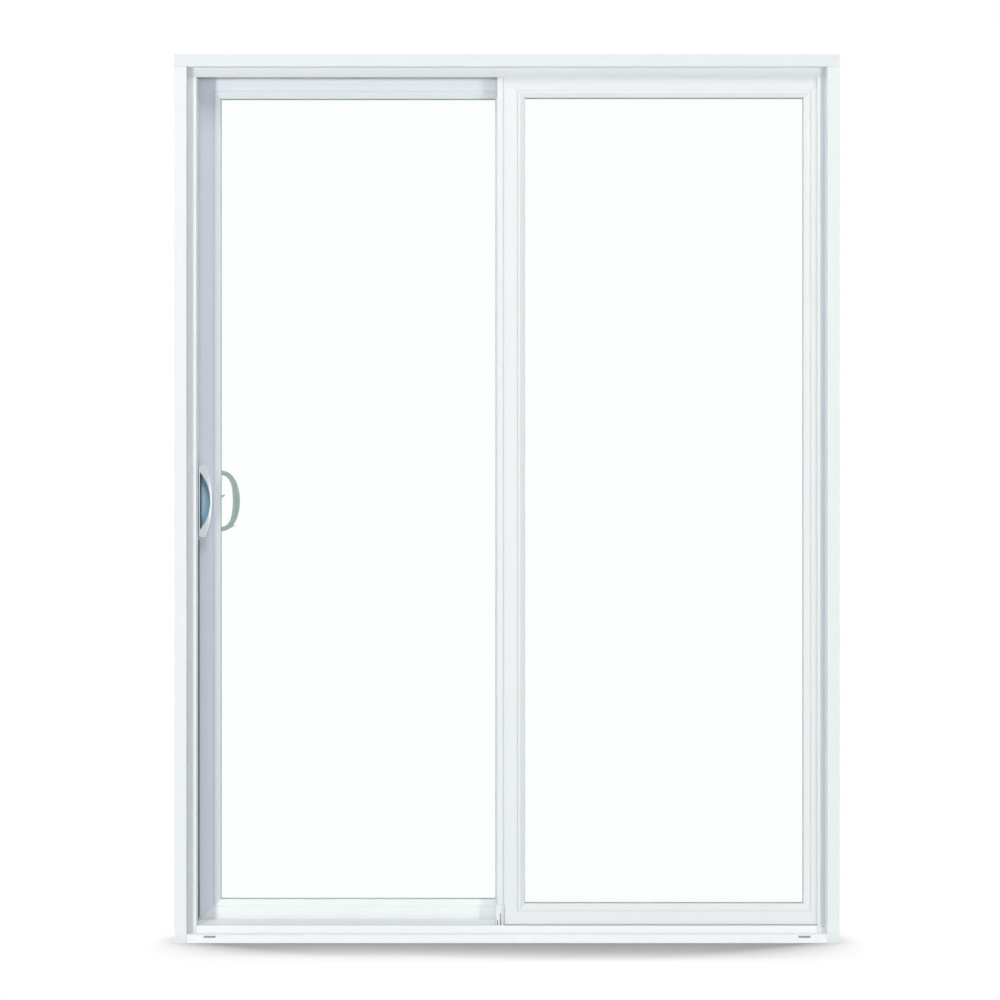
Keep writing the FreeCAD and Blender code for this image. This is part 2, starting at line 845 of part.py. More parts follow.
def make_panel(panel):
    """The four sash members, four beads and the glass of one panel."""
    for side, label in panel.members.items():
        member = mitred_member(label, panel, side, sash_section(), ZERO, sash_face, SASH_EDGES)
        if panel.name == "sliding" and side == "bottom":
            cut_roller_slots(member, panel)
        bead = f"{panel.name}_bead_{side}"
        mitred_member(bead, panel, side, bead_section(), d.sash_box, sash_face)
    make_glass(panel)


def roller_places():
    """The x of both rollers in the closed panel."""
    return (sliding_left + d.housing_inset, sliding_right - d.housing_inset)


def cut_roller_slots(member, panel):
    """Slots under the bottom rail that hold the roller housings."""
    length = panel_edges(panel, "bottom")[0]
    slots = []
    for side in (-1, 1):
        middle = (length / 2 - d.housing_inset) * side
        slots.append(rectangle(
            (d.sash_depth - d.housing_width) / 2,
            middle - d.housing_length / 2,
            (d.sash_depth + d.housing_width) / 2,
            middle + d.housing_length / 2,
        ))
    sketch = outline(member, "roller_slots", "YZ_Plane", slots)
    member.Tip = pocket(member, "roller_slot_cut", sketch, d.housing_height, reverse=True)


def make_fixed_interlock():
    """The strip over the edge of the fixed meeting stile."""
    body = new_body("fixed_interlock")
    front = stop_back - d.interlock_lip
    back = rib_front + d.interlock_lip
    outer = interlock_edge
    lip = fixed_left + d.interlock_cover
    section = outline(body, "section", "XY_Plane", [[
        (outer, front),
        (lip, front),
        (lip, stop_back),
        (fixed_left, stop_back),
        (fixed_left, rib_front),
        (lip, rib_front),
        (lip, back),
        (outer, back),
    ]])
    start = d.sill_rib + d.cover_gap
    pad(body, "length", section, stop_top - d.cover_gap - start)
    place(body, ZERO, at_depth(ZERO), start)


def make_interlock_plug():
    """The plug that stands on the sill's stop before the foot of the fixed interlock."""
    body = new_body("interlock_plug")
    width = d.plug_width
    face = outline(body, "face", "XZ_Plane", [rectangle(ZERO, ZERO, width, d.plug_height)])
    front = stop_back - d.interlock_lip - d.stop_depth
    pad(body, "thickness", face, front, reverse=True)
    slots = []
    for number, height in ((0, d.plug_slot_short), (1, d.plug_slot_tall)):
        left = d.plug_slot_edge + d.plug_slot_pitch * number
        slots.append(rectangle(left, ZERO, left + d.plug_slot_width, height))
    sketch = outline(body, "slots", "XZ_Plane", slots)
    body.Tip = pocket(body, "slot_cut", sketch, symmetric=True)
    place(body, interlock_edge - d.plug_overlap, at_depth(d.stop_depth), d.sill_stop)


def make_sliding_interlock():
    """The strip over the edge of the sliding meeting stile, with a lip towards the fixed panel."""
    body = new_body("sliding_interlock")
    front = slide_front - d.interlock_lip
    outer = sliding_right + d.interlock_wall
    lip = sliding_right - d.sliding_lip_cover
    section = outline(body, "section", "XY_Plane", [[
        (lip, front),
        (outer, front),
        (outer, slide_back),
        (sliding_right, slide_back),
        (sliding_right, slide_front),
        (lip, slide_front),
    ]])
    start = d.sill_rib + d.slide_gap
    pad(body, "length", section, stop_top - d.slide_gap - start)
    place(body, ZERO, at_depth(ZERO), start)


# Rollers and handles

def make_rollers():
    """A sheet housing with one wheel sits in each slot under the sliding panel."""
    axis_y = at_depth(slide_middle)
    axle_z = d.sill_floor + d.rail_height + d.wheel_clearance + d.wheel_radius
    turn = about(ABOUT_X, -90)
    housings = []
    wheels = []
    for number, x in enumerate(roller_places(), start=1):
        low = (x - d.housing_length / 2, axis_y - d.housing_width / 2, sliding_bottom)
        high = (x + d.housing_length / 2, axis_y + d.housing_width / 2,
                sliding_bottom + d.housing_height)
        outside = box_between(f"housing_outside_{number}", low, high)
        inner_low = (low[0] + d.housing_wall, low[1] + d.housing_wall, low[2])
        inner_high = (high[0] - d.housing_wall, high[1] - d.housing_wall,
                      high[2] - d.housing_wall)
        inside = box_between(f"housing_inside_{number}", inner_low, inner_high)
        housings.append(cut(f"housing_{number}", outside, inside))
        tread = cylinder(
            f"wheel_tread_{number}", d.wheel_radius, d.wheel_width,
            x, axis_y - d.wheel_width / 2, axle_z, turn,
        )
        axle = cylinder(
            f"wheel_axle_{number}", d.axle_radius, d.housing_width - d.housing_wall * 2,
            x, axis_y - d.housing_width / 2 + d.housing_wall, axle_z, turn,
        )
        wheels.append(fuse(f"wheel_{number}", [tread, axle]))
    listed(group("roller_housings", housings))
    listed(group("roller_wheels", wheels))


def make_lock_faceplate():
    """The lock's face plate on the edge of the lock stile."""
    low = (
        sliding_left - d.faceplate_thickness,
        at_depth(slide_middle - d.faceplate_width / 2),
        d.handle_height - d.faceplate_height / 2,
    )
    high = (
        sliding_left,
        at_depth(slide_middle + d.faceplate_width / 2),
        d.handle_height + d.faceplate_height / 2,
    )
    listed(box_between("lock_faceplate", low, high))


def make_outside_pull():
    """The outside pull: a half-moon cup with a deep finger recess and solid ends."""
    body = new_body("outside_pull")
    tall = d.pull_height / 2
    shape = new_sketch(body, "shape", "XZ_Plane")
    add_arched_loop(shape, [
        (d.pull_end_width, tall),
        (ZERO, tall),
        (ZERO, -tall),
        (d.pull_end_width, -tall),
    ], d.pull_width)
    solid = pad(body, "projection", shape, d.pull_projection)
    corners = round_edges(body, "corners", solid, d.pull_corner, runs_through_door)
    edge = round_edges(body, "front_edge", corners, d.pull_edge, is_pull_front)
    half = d.recess_height / 2
    recess = new_sketch(body, "recess", "XZ_Plane", d.pull_projection)
    add_arched_loop(recess, [(d.pull_rim, half), (d.pull_rim, -half)], d.pull_rim + d.recess_width)
    body.Tip = pocket(body, "recess_cut", recess, d.pull_recess)
    place(body, pull_x, at_depth(slide_front), d.handle_height)


def is_pull_front(edge):
    """The edges round the front face of the outside pull."""
    box_of_edge = edge.BoundBox
    front = -d.pull_projection.number
    return abs(box_of_edge.YMin - front) < 0.01 and abs(box_of_edge.YMax - front) < 0.01


def runs_through_door(edge):
    """Edges square to the glass."""
    return runs_along(edge, ABOUT_Y)


def make_handle_plate():
    """The plate of the inside handle."""
    body = new_body("handle_plate")
    half = d.plate_width / 2
    tall = d.plate_height / 2
    shape = outline(body, "shape", "XZ_Plane", [rectangle(-half, -tall, half, tall)])
    solid = pad(body, "thickness", shape, d.plate_thickness, reverse=True)
    corners = round_edges(body, "corners", solid, d.plate_corner, runs_through_door)
    body.Tip = round_edges(body, "front_edge", corners, d.plate_edge, is_plate_front)
    place(body, handle_x, at_depth(slide_back), d.handle_height)


def is_plate_front(edge):
    """The edges round the face of the inside handle plate."""
    box_of_edge = edge.BoundBox
    front = d.plate_thickness.number
    return abs(box_of_edge.YMin - front) < 0.01 and abs(box_of_edge.YMax - front) < 0.01


GRIP_STEPS = 6


def grip_section(step, face):
    """A bevelled section of the grip, at one of the even steps each way round its arc."""
    angle = d.grip_sweep * (step / GRIP_STEPS)
    half_chord = d.grip_chord / 2
    swing = (half_chord * half_chord + d.grip_bow * d.grip_bow) / (d.grip_bow * 2)
    out = d.grip_bow - swing + swing * cosine(angle)
    fullness = cosine(angle) * cosine(angle)
    width = (d.grip_end_width + (d.grip_width - d.grip_end_width) * fullness) / 2
    depth = (d.grip_end_thickness + (d.grip_thickness - d.grip_end_thickness) * fullness) / 2
    wide = width - d.grip_bevel
    deep = depth - d.grip_bevel
    section = doc.addObject("Sketcher::SketchObject", f"grip_section_{step + GRIP_STEPS + 1}")
    add_loop(section, [
        (width, -deep), (width, deep), (wide, depth), (-wide, depth),
        (-width, deep), (-width, -deep), (-wide, -depth), (wide, -depth),
    ])
    turn = about(ABOUT_Z, d.grip_tilt.number) * about(ABOUT_Y, -angle.number)
    return place(
        section,
        handle_x + out * cosine(d.grip_tilt),
        face + out * sine(d.grip_tilt),
        d.handle_height + swing * sine(angle),
        turn,
    )


def make_inside_grip():
    """The bowed grip: a tapered bar lofted round an arc, cut off on the plate, with two feet."""
    face = at_depth(slide_back + d.plate_thickness)
    bar = doc.addObject("Part::Loft", "grip_bar")
    bar.Sections = [grip_section(step, face) for step in range(-GRIP_STEPS, GRIP_STEPS + 1)]
    bar.Solid = True
    bar.Ruled = True

    reach = d.grip_bow * 2
    room = box_between(
        "grip_room",
        (handle_x - d.plate_width, face, d.handle_height - reach),
        (handle_x + reach, face + reach, d.handle_height + reach),
    )
    bow = doc.addObject("Part::Common", "grip_bow")
    bow.Base = bar
    bow.Tool = room
    pieces = [bow]
    for side, name in ((-1, "lower"), (1, "upper")):
        foot = doc.addObject("Part::Cone", f"grip_foot_{name}")
        bind(foot, "Radius1", d.foot_radius)
        bind(foot, "Radius2", d.foot_neck)
        bind(foot, "Height", d.foot_height)
        up = d.handle_height + d.grip_chord / 2 * side
        pieces.append(place(foot, handle_x, face, up, about(ABOUT_X, -90)))
    listed(fuse("inside_grip", pieces))


def make_latch_lever():
    """The thumb lever turns on the plate of the inside handle and tapers to its tip."""
    body = new_body("latch_lever")
    hub = new_sketch(body, "hub", "XZ_Plane")
    add_circle(hub, ZERO, ZERO, d.latch_hub)
    pad(body, "hub_depth", hub, d.latch_depth, reverse=True)
    root = d.latch_width / 2
    tip = d.latch_tip / 2
    arm = outline(body, "arm", "XZ_Plane", [[
        (ZERO, -root),
        (d.latch_length, -tip),
        (d.latch_length, tip),
        (ZERO, root),
    ]])
    body.Tip = pad(body, "arm_depth", arm, d.latch_depth, reverse=True)
    y = at_depth(slide_back + d.plate_thickness + d.latch_gap)
    turn = about(ABOUT_Y, -d.latch_rise.number)
    place(body, handle_x, y, d.handle_height - d.latch_drop, turn)


FIXED = SimpleNamespace(
    name="fixed",
    edges=(fixed_left, fixed_right, fixed_bottom, fixed_top),
    front=stop_back,
    members={
        "left": "fixed_interlock_stile",
        "right": "fixed_jamb_stile",
        "bottom": "fixed_bottom_rail",
        "top": "fixed_top_rail",
    },
)
SLIDING = SimpleNamespace(
    name="sliding",
    edges=(sliding_left, sliding_right, sliding_bottom, sliding_top),
    front=slide_front,
    members={
        "left": "lock_stile",
        "right": "sliding_interlock_stile",
        "bottom": "sliding_bottom_rail",
        "top": "sliding_top_rail",
    },
)


def check_model():
    """Stop where an object failed to build."""
    failed = []
    for thing in doc.Objects:
        if "Invalid" in thing.State or "Error" in thing.State:
            failed.append(f"{thing.Label}: {thing.State}")
    for node in nodes:
        shape = node.Shape
        if shape.isNull() or not shape.isValid() or not shape.Solids:
            failed.append(f"{node.Label}: no valid solid")
    if failed:
        raise RuntimeError("; ".join(failed))


def write_parts():
    """Write each sub-part to a file named after it."""
    os.makedirs("parts", exist_ok=True)
    for node in nodes:
        node.Shape.exportStep(f"parts/{node.Label}.step")
        print(node.Label, len(node.Shape.Solids), round(node.Shape.Volume / 1000, 1), "cm3")


make_head()
make_jamb("lock_jamb", -1)
make_jamb("fixed_jamb", 1)
make_sill()
make_weep_covers()
make_covers()
make_lock_jamb_liner()
make_roller_rail()
make_open_stop()
make_panel(FIXED)
make_fixed_interlock()
make_interlock_plug()
make_panel(SLIDING)
make_sliding_interlock()
make_rollers()
make_lock_faceplate()
make_outside_pull()
make_handle_plate()
make_inside_grip()
make_latch_lever()

doc.recompute()
check_model()
write_parts()
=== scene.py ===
"""Looks of the sliding patio door: camera, light, finishes and the small pieces on the frame."""

import json
import math
import bpy
from mathutils import Matrix, Vector


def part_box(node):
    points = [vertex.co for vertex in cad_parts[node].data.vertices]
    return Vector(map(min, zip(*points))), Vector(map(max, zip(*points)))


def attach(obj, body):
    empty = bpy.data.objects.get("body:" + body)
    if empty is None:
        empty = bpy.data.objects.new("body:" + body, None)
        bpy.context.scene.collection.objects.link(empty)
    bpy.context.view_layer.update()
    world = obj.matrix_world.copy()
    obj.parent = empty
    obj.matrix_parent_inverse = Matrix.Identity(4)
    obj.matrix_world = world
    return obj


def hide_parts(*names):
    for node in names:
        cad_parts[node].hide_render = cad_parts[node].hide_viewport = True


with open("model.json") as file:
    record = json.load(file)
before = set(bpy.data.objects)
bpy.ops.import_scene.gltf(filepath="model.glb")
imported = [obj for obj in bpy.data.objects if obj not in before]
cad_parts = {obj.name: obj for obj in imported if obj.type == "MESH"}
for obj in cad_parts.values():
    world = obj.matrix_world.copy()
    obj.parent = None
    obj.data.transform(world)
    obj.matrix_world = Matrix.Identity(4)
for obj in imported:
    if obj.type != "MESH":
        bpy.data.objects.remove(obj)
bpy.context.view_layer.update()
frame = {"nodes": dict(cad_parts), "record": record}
nodes = frame["nodes"]
bpy.ops.object.select_all(action="DESELECT")
bpy.context.tool_settings.mesh_select_mode = (False, False, True)


# Camera

CAMERA_DISTANCE = 7.06
CAMERA_HEIGHT = 1.007
CAMERA_SIDE = -0.016
LENS = 111.0

bpy.ops.object.camera_add(
    location=(CAMERA_SIDE, -CAMERA_DISTANCE, CAMERA_HEIGHT),
    rotation=(math.radians(90), 0, 0),
)
camera = bpy.context.object
camera.name = "camera"
camera.data.lens = LENS
camera.data.sensor_width = 36.0
camera.data.clip_end = 100.0
bpy.context.scene.camera = camera
bpy.context.scene.view_settings.view_transform = "Standard"


# Light

def soft_box(name, azimuth, distance, height, width, power, colour=(1, 1, 1)):
    """A square lamp that looks at the middle of the door; azimuth 0 is straight in front."""
    angle = math.radians(azimuth)
    place = Vector((math.sin(angle) * distance, -math.cos(angle) * distance, height))
    target = Vector((0, 0, 1.0))
    bpy.ops.object.light_add(type="AREA", location=place)
    lamp = bpy.context.object
    lamp.name = name
    lamp.data.shape = "RECTANGLE"
    lamp.data.size = width
    lamp.data.size_y = width
    lamp.data.energy = power
    lamp.data.color = colour
    lamp.rotation_euler = (target - place).to_track_quat("-Z", "Y").to_euler()
    lamp.visible_glossy = False
    lamp.visible_transmission = False
    return lamp


WARM = (1.0, 0.985, 0.905)
soft_box("left_lamp", -43.5, 14.0, 1.6, 1.5, 890, WARM)
soft_box("right_lamp", 40, 14.0, 1.6, 1.5, 465, WARM)
soft_box("top_lamp", 0, 5.0, 10.0, 3.0, 360, WARM)
soft_box("back_left_lamp", -145, 6.0, 2.6, 2.0, 110, WARM)
soft_box("back_right_lamp", 145, 6.0, 2.6, 2.0, 140, WARM)


# Materials

class Finish:
    """A node material under construction."""

    def __init__(self, name):
        self.material = bpy.data.materials.new(name)
        self.material.use_nodes = True
        self.tree = self.material.node_tree
        self.shader = self.tree.nodes["Principled BSDF"]
        self.output = self.tree.nodes["Material Output"]

    def node(self, kind, **settings):
        made = self.tree.nodes.new(kind)
        for key, value in settings.items():
            setattr(made, key, value)
        return made

    def link(self, start, end):
        self.tree.links.new(start, end)

    def math(self, operation, first, second):
        """One sum; either part is a number or another node's output."""
        made = self.node("ShaderNodeMath", operation=operation)
        for socket, value in zip(made.inputs, (first, second)):
            if isinstance(value, (int, float)):
                socket.default_value = value
            else:
                self.link(value, socket)
        return made.outputs[0]

    def place(self, scale=(1, 1, 1)):
        """Object coordinates in metres, stretched by scale."""
        where = self.node("ShaderNodeTexCoord")
        mapping = self.node("ShaderNodeMapping")
        mapping.inputs["Scale"].default_value = scale
        self.link(where.outputs["Object"], mapping.inputs["Vector"])
        return mapping.outputs["Vector"]

    def axes(self):
        """The object's own x, y and z in metres."""
        where = self.node("ShaderNodeTexCoord")
        parts = self.node("ShaderNodeSeparateXYZ")
        self.link(where.outputs["Object"], parts.inputs["Vector"])
        return parts.outputs

    def noise(self, vector, scale, detail=3.0, roughness=0.5):
        made = self.node("ShaderNodeTexNoise")
        made.inputs["Scale"].default_value = scale
        made.inputs["Detail"].default_value = detail
        made.inputs["Roughness"].default_value = roughness
        self.link(vector, made.inputs["Vector"])
        return made.outputs["Fac"]

    def span(self, value, low, high, start=0.0, end=1.0):
        """Map a value between start and end onto low to high."""
        made = self.node("ShaderNodeMapRange")
        made.inputs["From Min"].default_value = start
        made.inputs["From Max"].default_value = end
        made.inputs["To Min"].default_value = low
        made.inputs["To Max"].default_value = high
        self.link(value, made.inputs["Value"])
        return made.outputs["Result"]

    def blend(self, value, first, second):
        """A colour between two, by a 0 to 1 value; either colour may be a node's output."""
        made = self.node("ShaderNodeMix", data_type="RGBA")
        for name, colour in (("A", first), ("B", second)):
            if isinstance(colour, tuple):
                made.inputs[name].default_value = (*colour, 1)
            else:
                self.link(colour, made.inputs[name])
        self.link(value, made.inputs["Factor"])
        return made.outputs["Result"]

    def openness(self, distance, towards=None, samples=8):
        """How open the surface is: 1 in the clear and less in a corner, within a distance."""
        made = self.node("ShaderNodeAmbientOcclusion", samples=samples)
        made.inputs["Distance"].default_value = distance
        if towards is not None:
            aim = self.node("ShaderNodeCombineXYZ")
            for socket, part in zip(aim.inputs, Vector(towards).normalized()):
                socket.default_value = part
            self.link(aim.outputs[0], made.inputs["Normal"])
        return made.outputs["AO"]

    def bump(self, value, strength, distance, before=None):
        made = self.node("ShaderNodeBump")
        made.inputs["Strength"].default_value = strength
        made.inputs["Distance"].default_value = distance
        self.link(value, made.inputs["Height"])
        if before is not None:
            self.link(before, made.inputs["Normal"])
        return made.outputs["Normal"]

    def seen_directly(self):
        """1 for rays from the camera, off gloss or through glass, before any matt surface."""
        path = self.node("ShaderNodeLightPath")
        seen = self.math("MAXIMUM", path.outputs["Is Camera Ray"], path.outputs["Is Glossy Ray"])
        seen = self.math("MAXIMUM", seen, path.outputs["Is Transmission Ray"])
        direct = self.math("SUBTRACT", seen, path.outputs["Diffuse Depth"])
        return self.math("MAXIMUM", direct, 0.0)


VINYL_LOW = (0.845, 0.873, 0.888)
VINYL_HIGH = (0.862, 0.888, 0.900)
# Painted shade: the sliding panel's vinyl is bluer, in place of the blue cast of shade in its recess.
PANEL_SHADE_TINT_LOW = (0.835, 0.865, 0.925)
PANEL_SHADE_TINT_HIGH = (0.85, 0.88, 0.94)
# Painted shade: a grey vinyl for the lock jamb's filler and liner, where the recess beside the sliding panel lies
# in shade.
COVER_SHADE_LOW = (0.60, 0.63, 0.67)
COVER_SHADE_HIGH = (0.64, 0.67, 0.70)
# Painted light: a brighter vinyl for the sill, the fillers and the sliding panel's foot, in place of light falling
# on them from above and below.
SILL_LIT_LOW = (0.92, 0.95, 0.965)
SILL_LIT_HIGH = (0.94, 0.96, 0.975)
# Painted shade: the head gets a darker vinyl than the rest of the frame, in place of weaker light at the top.
HEAD_SHADE_LOW = (0.795, 0.825, 0.845)
HEAD_SHADE_HIGH = (0.815, 0.845, 0.862)


def mitre_line(finish, edges):
    """1 along the welded mitres of a panel and 0 elsewhere."""
    left, right, bottom, top = edges
    x, y, z = finish.axes()
    from_side = finish.math("ABSOLUTE", finish.math("SUBTRACT", x, (left + right) / 2), 0.0)
    from_end = finish.math("ABSOLUTE", finish.math("SUBTRACT", z, (bottom + top) / 2), 0.0)
    skew = finish.math("SUBTRACT", from_end, from_side)
    skew = finish.math("SUBTRACT", skew, (top - bottom) / 2 - (right - left) / 2)
    return finish.span(finish.math("ABSOLUTE", skew, 0.0), 1.0, 0.0, 0.0004, 0.0009)


def vinyl(name, grain, low=VINYL_LOW, high=VINYL_HIGH, edges=None, corners=0.78, roughness=0.35):
    """White extruded vinyl: faint draw lines along the member, and painted shade that darkens its corners."""
    finish = Finish(name)
    lines = finish.noise(finish.place(grain), 1.0, 2.0)
    drift = finish.noise(finish.place(), 3.0, 2.0)
    fine = finish.noise(finish.place(), 900.0, 2.0)
    colour = finish.blend(finish.span(drift, 0.2, 0.8), low, high)
    # Painted shade: enclosed corners blend towards a darker copy of the vinyl, by the corners factor; the same dark
    # tone also marks the welded mitres, a real dark joint.
    corner = finish.span(finish.openness(0.03), 1.0, 0.0)
    corner_shade_and_weld_tone = tuple(part * corners for part in low)
    colour = finish.blend(corner, colour, corner_shade_and_weld_tone)
    height = lines
    if edges is not None:
        weld = mitre_line(finish, edges)
        colour = finish.blend(finish.math("MULTIPLY", weld, 0.5), colour, corner_shade_and_weld_tone)
        height = finish.math("SUBTRACT", lines, weld)
    finish.link(colour, finish.shader.inputs["Base Color"])
    finish.link(finish.span(fine, roughness - 0.05, roughness + 0.05), finish.shader.inputs["Roughness"])
    normal = finish.bump(height, 0.12, 0.0006)
    finish.link(finish.bump(fine, 0.05, 0.0002, normal), finish.shader.inputs["Normal"])
    finish.shader.inputs["Specular IOR Level"].default_value = 0.4
    return finish.material


def glass():
    """Clear float glass; light that passes it comes out greener and weaker."""
    finish = Finish("clear_glass")
    haze = finish.noise(finish.place(), 2.0, 2.0)
    colour = finish.blend(haze, (0.985, 0.998, 0.990), (0.990, 1.0, 0.994))
    finish.link(colour, finish.shader.inputs["Base Color"])
    finish.shader.inputs["Roughness"].default_value = 0.0
    finish.shader.inputs["IOR"].default_value = 1.45
    finish.shader.inputs["Transmission Weight"].default_value = 1.0
    path = finish.node("ShaderNodeLightPath")
    tint = finish.node("ShaderNodeBsdfTransparent")
    tint.inputs["Color"].default_value = (0.72, 0.86, 0.80, 1)
    mix = finish.node("ShaderNodeMixShader")
    finish.link(path.outputs["Is Shadow Ray"], mix.inputs["Fac"])
    finish.link(finish.shader.outputs["BSDF"], mix.inputs[1])
    finish.link(tint.outputs["BSDF"], mix.inputs[2])
    finish.link(mix.outputs[0], finish.output.inputs["Surface"])
    return finish.material


def metal(name, colour, roughness, grain):
    """Brushed metal with its grain along one axis."""
    finish = Finish(name)
    lines = finish.noise(finish.place(grain), 1.0, 3.0)
    dark = tuple(part * 0.85 for part in colour)
    finish.link(finish.blend(lines, dark, colour), finish.shader.inputs["Base Color"])
    finish.link(finish.span(lines, roughness - 0.08, roughness + 0.08), finish.shader.inputs["Roughness"])
    finish.link(finish.bump(lines, 0.2, 0.0002), finish.shader.inputs["Normal"])
    finish.shader.inputs["Metallic"].default_value = 1.0
    return finish.material


def moulded(name, low, high, roughness):
    """Moulded plastic, rubber or powder coat with a fine even texture."""
    finish = Finish(name)
    fine = finish.noise(finish.place(), 1400.0, 2.0)
    drift = finish.noise(finish.place(), 8.0, 2.0)
    finish.link(finish.blend(drift, low, high), finish.shader.inputs["Base Color"])
    finish.link(finish.span(fine, roughness - 0.05, roughness + 0.05), finish.shader.inputs["Roughness"])
    finish.link(finish.bump(fine, 0.1, 0.0002), finish.shader.inputs["Normal"])
    return finish.material


def pile():
    """Grey woven pile: upright fibres, darker between the tufts; its near-black also paints the shade in the gap
    beside the lock stile.
    """
    finish = Finish("pile_weatherstrip_and_gap_shade")
    tufts = finish.noise(finish.place((1200, 1200, 500)), 1.0, 2.0)
    fibres = finish.noise(finish.place((3000, 3000, 900)), 1.0, 2.0)
    colour = finish.blend(tufts, (0.02, 0.023, 0.035), (0.09, 0.095, 0.12))
    finish.link(colour, finish.shader.inputs["Base Color"])
    finish.link(finish.span(fibres, 0.85, 1.0), finish.shader.inputs["Roughness"])
    finish.link(finish.bump(fibres, 0.8, 0.0008), finish.shader.inputs["Normal"])
    finish.shader.inputs["Sheen Weight"].default_value = 0.3
    return finish.material


def painted_cup_shade(left):
    """Blue-grey lining of the outside pull, painted shade of its finger recess, with deeper painted shade in navy
    along its straight edge.
    """
    finish = Finish("blue_grey_cup_painted_shade")
    fine = finish.noise(finish.place(), 900.0, 3.0)
    drift = finish.noise(finish.place((60, 60, 20)), 1.0, 3.0)
    floor = finish.blend(drift, (0.46, 0.70, 0.86), (0.53, 0.77, 0.90))
    # Painted shade: navy along the straight left wall, fading to the blue-grey floor over a few millimetres.
    depth = finish.span(finish.axes()["X"], 0.0, 1.0, left + 0.001, left + 0.0045)
    finish.link(finish.blend(depth, (0.03, 0.09, 0.14), floor), finish.shader.inputs["Base Color"])
    finish.link(finish.span(fine, 0.45, 0.6), finish.shader.inputs["Roughness"])
    finish.link(finish.bump(fine, 0.15, 0.0003), finish.shader.inputs["Normal"])
    return finish.material


def panel_edges(name):
    """Left, right, bottom and top of a panel, from its sash members."""
    rail_low, rail_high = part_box(f"{name}_bottom_rail")
    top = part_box(f"{name}_top_rail")[1].z
    return rail_low.x, rail_high.x, rail_low.z, top


FIXED_EDGES = panel_edges("fixed")
SLIDING_EDGES = panel_edges("sliding")
UPRIGHT = (700, 700, 2)
LEVEL = (2, 700, 700)

frame_upright = vinyl("white_vinyl_upright", UPRIGHT)
frame_level = vinyl("white_vinyl_level", LEVEL)
shaded_cover_upright = vinyl("cover_painted_shade_vinyl_upright", UPRIGHT, COVER_SHADE_LOW, COVER_SHADE_HIGH)
shaded_head_level = vinyl("head_painted_shade_vinyl", LEVEL, HEAD_SHADE_LOW, HEAD_SHADE_HIGH, corners=0.97)
lit_sill_level = vinyl("sill_painted_light_vinyl", LEVEL, SILL_LIT_LOW, SILL_LIT_HIGH, corners=0.96, roughness=0.2)
fixed_upright = vinyl("fixed_panel_vinyl_upright", UPRIGHT, edges=FIXED_EDGES)
fixed_level = vinyl("fixed_panel_vinyl_level", LEVEL, edges=FIXED_EDGES)
sliding_upright = vinyl("sliding_panel_shade_tinted_vinyl_upright", UPRIGHT, PANEL_SHADE_TINT_LOW, PANEL_SHADE_TINT_HIGH, SLIDING_EDGES, corners=0.88)
sliding_level = vinyl("sliding_panel_shade_tinted_vinyl_level", LEVEL, PANEL_SHADE_TINT_LOW, PANEL_SHADE_TINT_HIGH, SLIDING_EDGES)
lit_sliding_foot = vinyl("sliding_bottom_painted_light_vinyl", LEVEL, SILL_LIT_LOW, SILL_LIT_HIGH, SLIDING_EDGES, corners=0.92)
clear_glass = glass()
spacer_metal = metal("spacer_aluminium", (0.66, 0.67, 0.69), 0.4, (40, 900, 40))
steel = metal("zinc_plated_steel", (0.70, 0.71, 0.73), 0.32, (900, 900, 12))
rail_metal = metal("anodised_rail", (0.76, 0.77, 0.79), 0.35, (4, 900, 900))
nylon = moulded("white_nylon", (0.80, 0.80, 0.78), (0.84, 0.84, 0.82), 0.45)
rubber = moulded("black_rubber", (0.03, 0.03, 0.033), (0.045, 0.045, 0.05), 0.6)
gasket_green = moulded("grey_green_gasket", (0.78, 0.90, 0.80), (0.82, 0.94, 0.84), 0.5)
gasket_pale = moulded("pale_gasket", (0.91, 0.95, 0.92), (0.93, 0.97, 0.94), 0.5)
# Painted shade: dark grey for the seal that draws the shade line at the fixed panel's foot.
dark_shade_seal = moulded("dark_grey_seal_painted_shade", (0.28, 0.31, 0.31), (0.34, 0.37, 0.37), 0.6)
bulb_pale = moulded("pale_bulb_seal", (0.86, 0.92, 0.94), (0.90, 0.95, 0.96), 0.5)
flap_grey = moulded("grey_weep_flap", (0.33, 0.37, 0.39), (0.39, 0.43, 0.45), 0.6)
# Painted shade: grey for the strip that darkens the fixed jamb's channel.
channel_shade_grey = moulded("painted_shade_channel_strip", (0.58, 0.63, 0.70), (0.63, 0.68, 0.75), 0.5)
handle_coat = moulded("white_powder_coat", (0.85, 0.88, 0.895), (0.87, 0.895, 0.905), 0.32)
# Painted light: the outside pull gets a brighter copy of the white coat, as it sits in the jamb's shade.
lit_pull_coat = moulded("white_pull_coat_painted_light", (0.92, 0.95, 0.965), (0.94, 0.96, 0.975), 0.3)
pile_and_gap_shade = pile()

FINISH_BY_SLOT = {
    "glass": clear_glass,
    "spacer": spacer_metal,
    "steel": steel,
    "rail_aluminium": rail_metal,
    "nylon": nylon,
    "rubber": rubber,
    "handle_white": handle_coat,
}
FINISH_BY_NODE = {
    # Painted shade: the lock jamb's filler and liner take the grey cover vinyl.
    "lock_jamb_filler": shaded_cover_upright,
    "lock_jamb_liner": shaded_cover_upright,
    # Painted shade: the head takes the darker head vinyl.
    "head": shaded_head_level,
    # Painted light: the head filler's underside, the sill and its filler take the brighter sill vinyl.
    "head_filler": lit_sill_level,
    "sill": lit_sill_level,
    "sill_filler": lit_sill_level,
    # Painted light: the sliding panel's bottom rail and bead take the brighter sill vinyl.
    "sliding_bottom_rail": lit_sliding_foot,
    "sliding_bead_bottom": lit_sliding_foot,
    # Painted light: the outside pull takes the brighter white coat.
    "outside_pull": lit_pull_coat,
    "weep_covers": flap_grey,
}


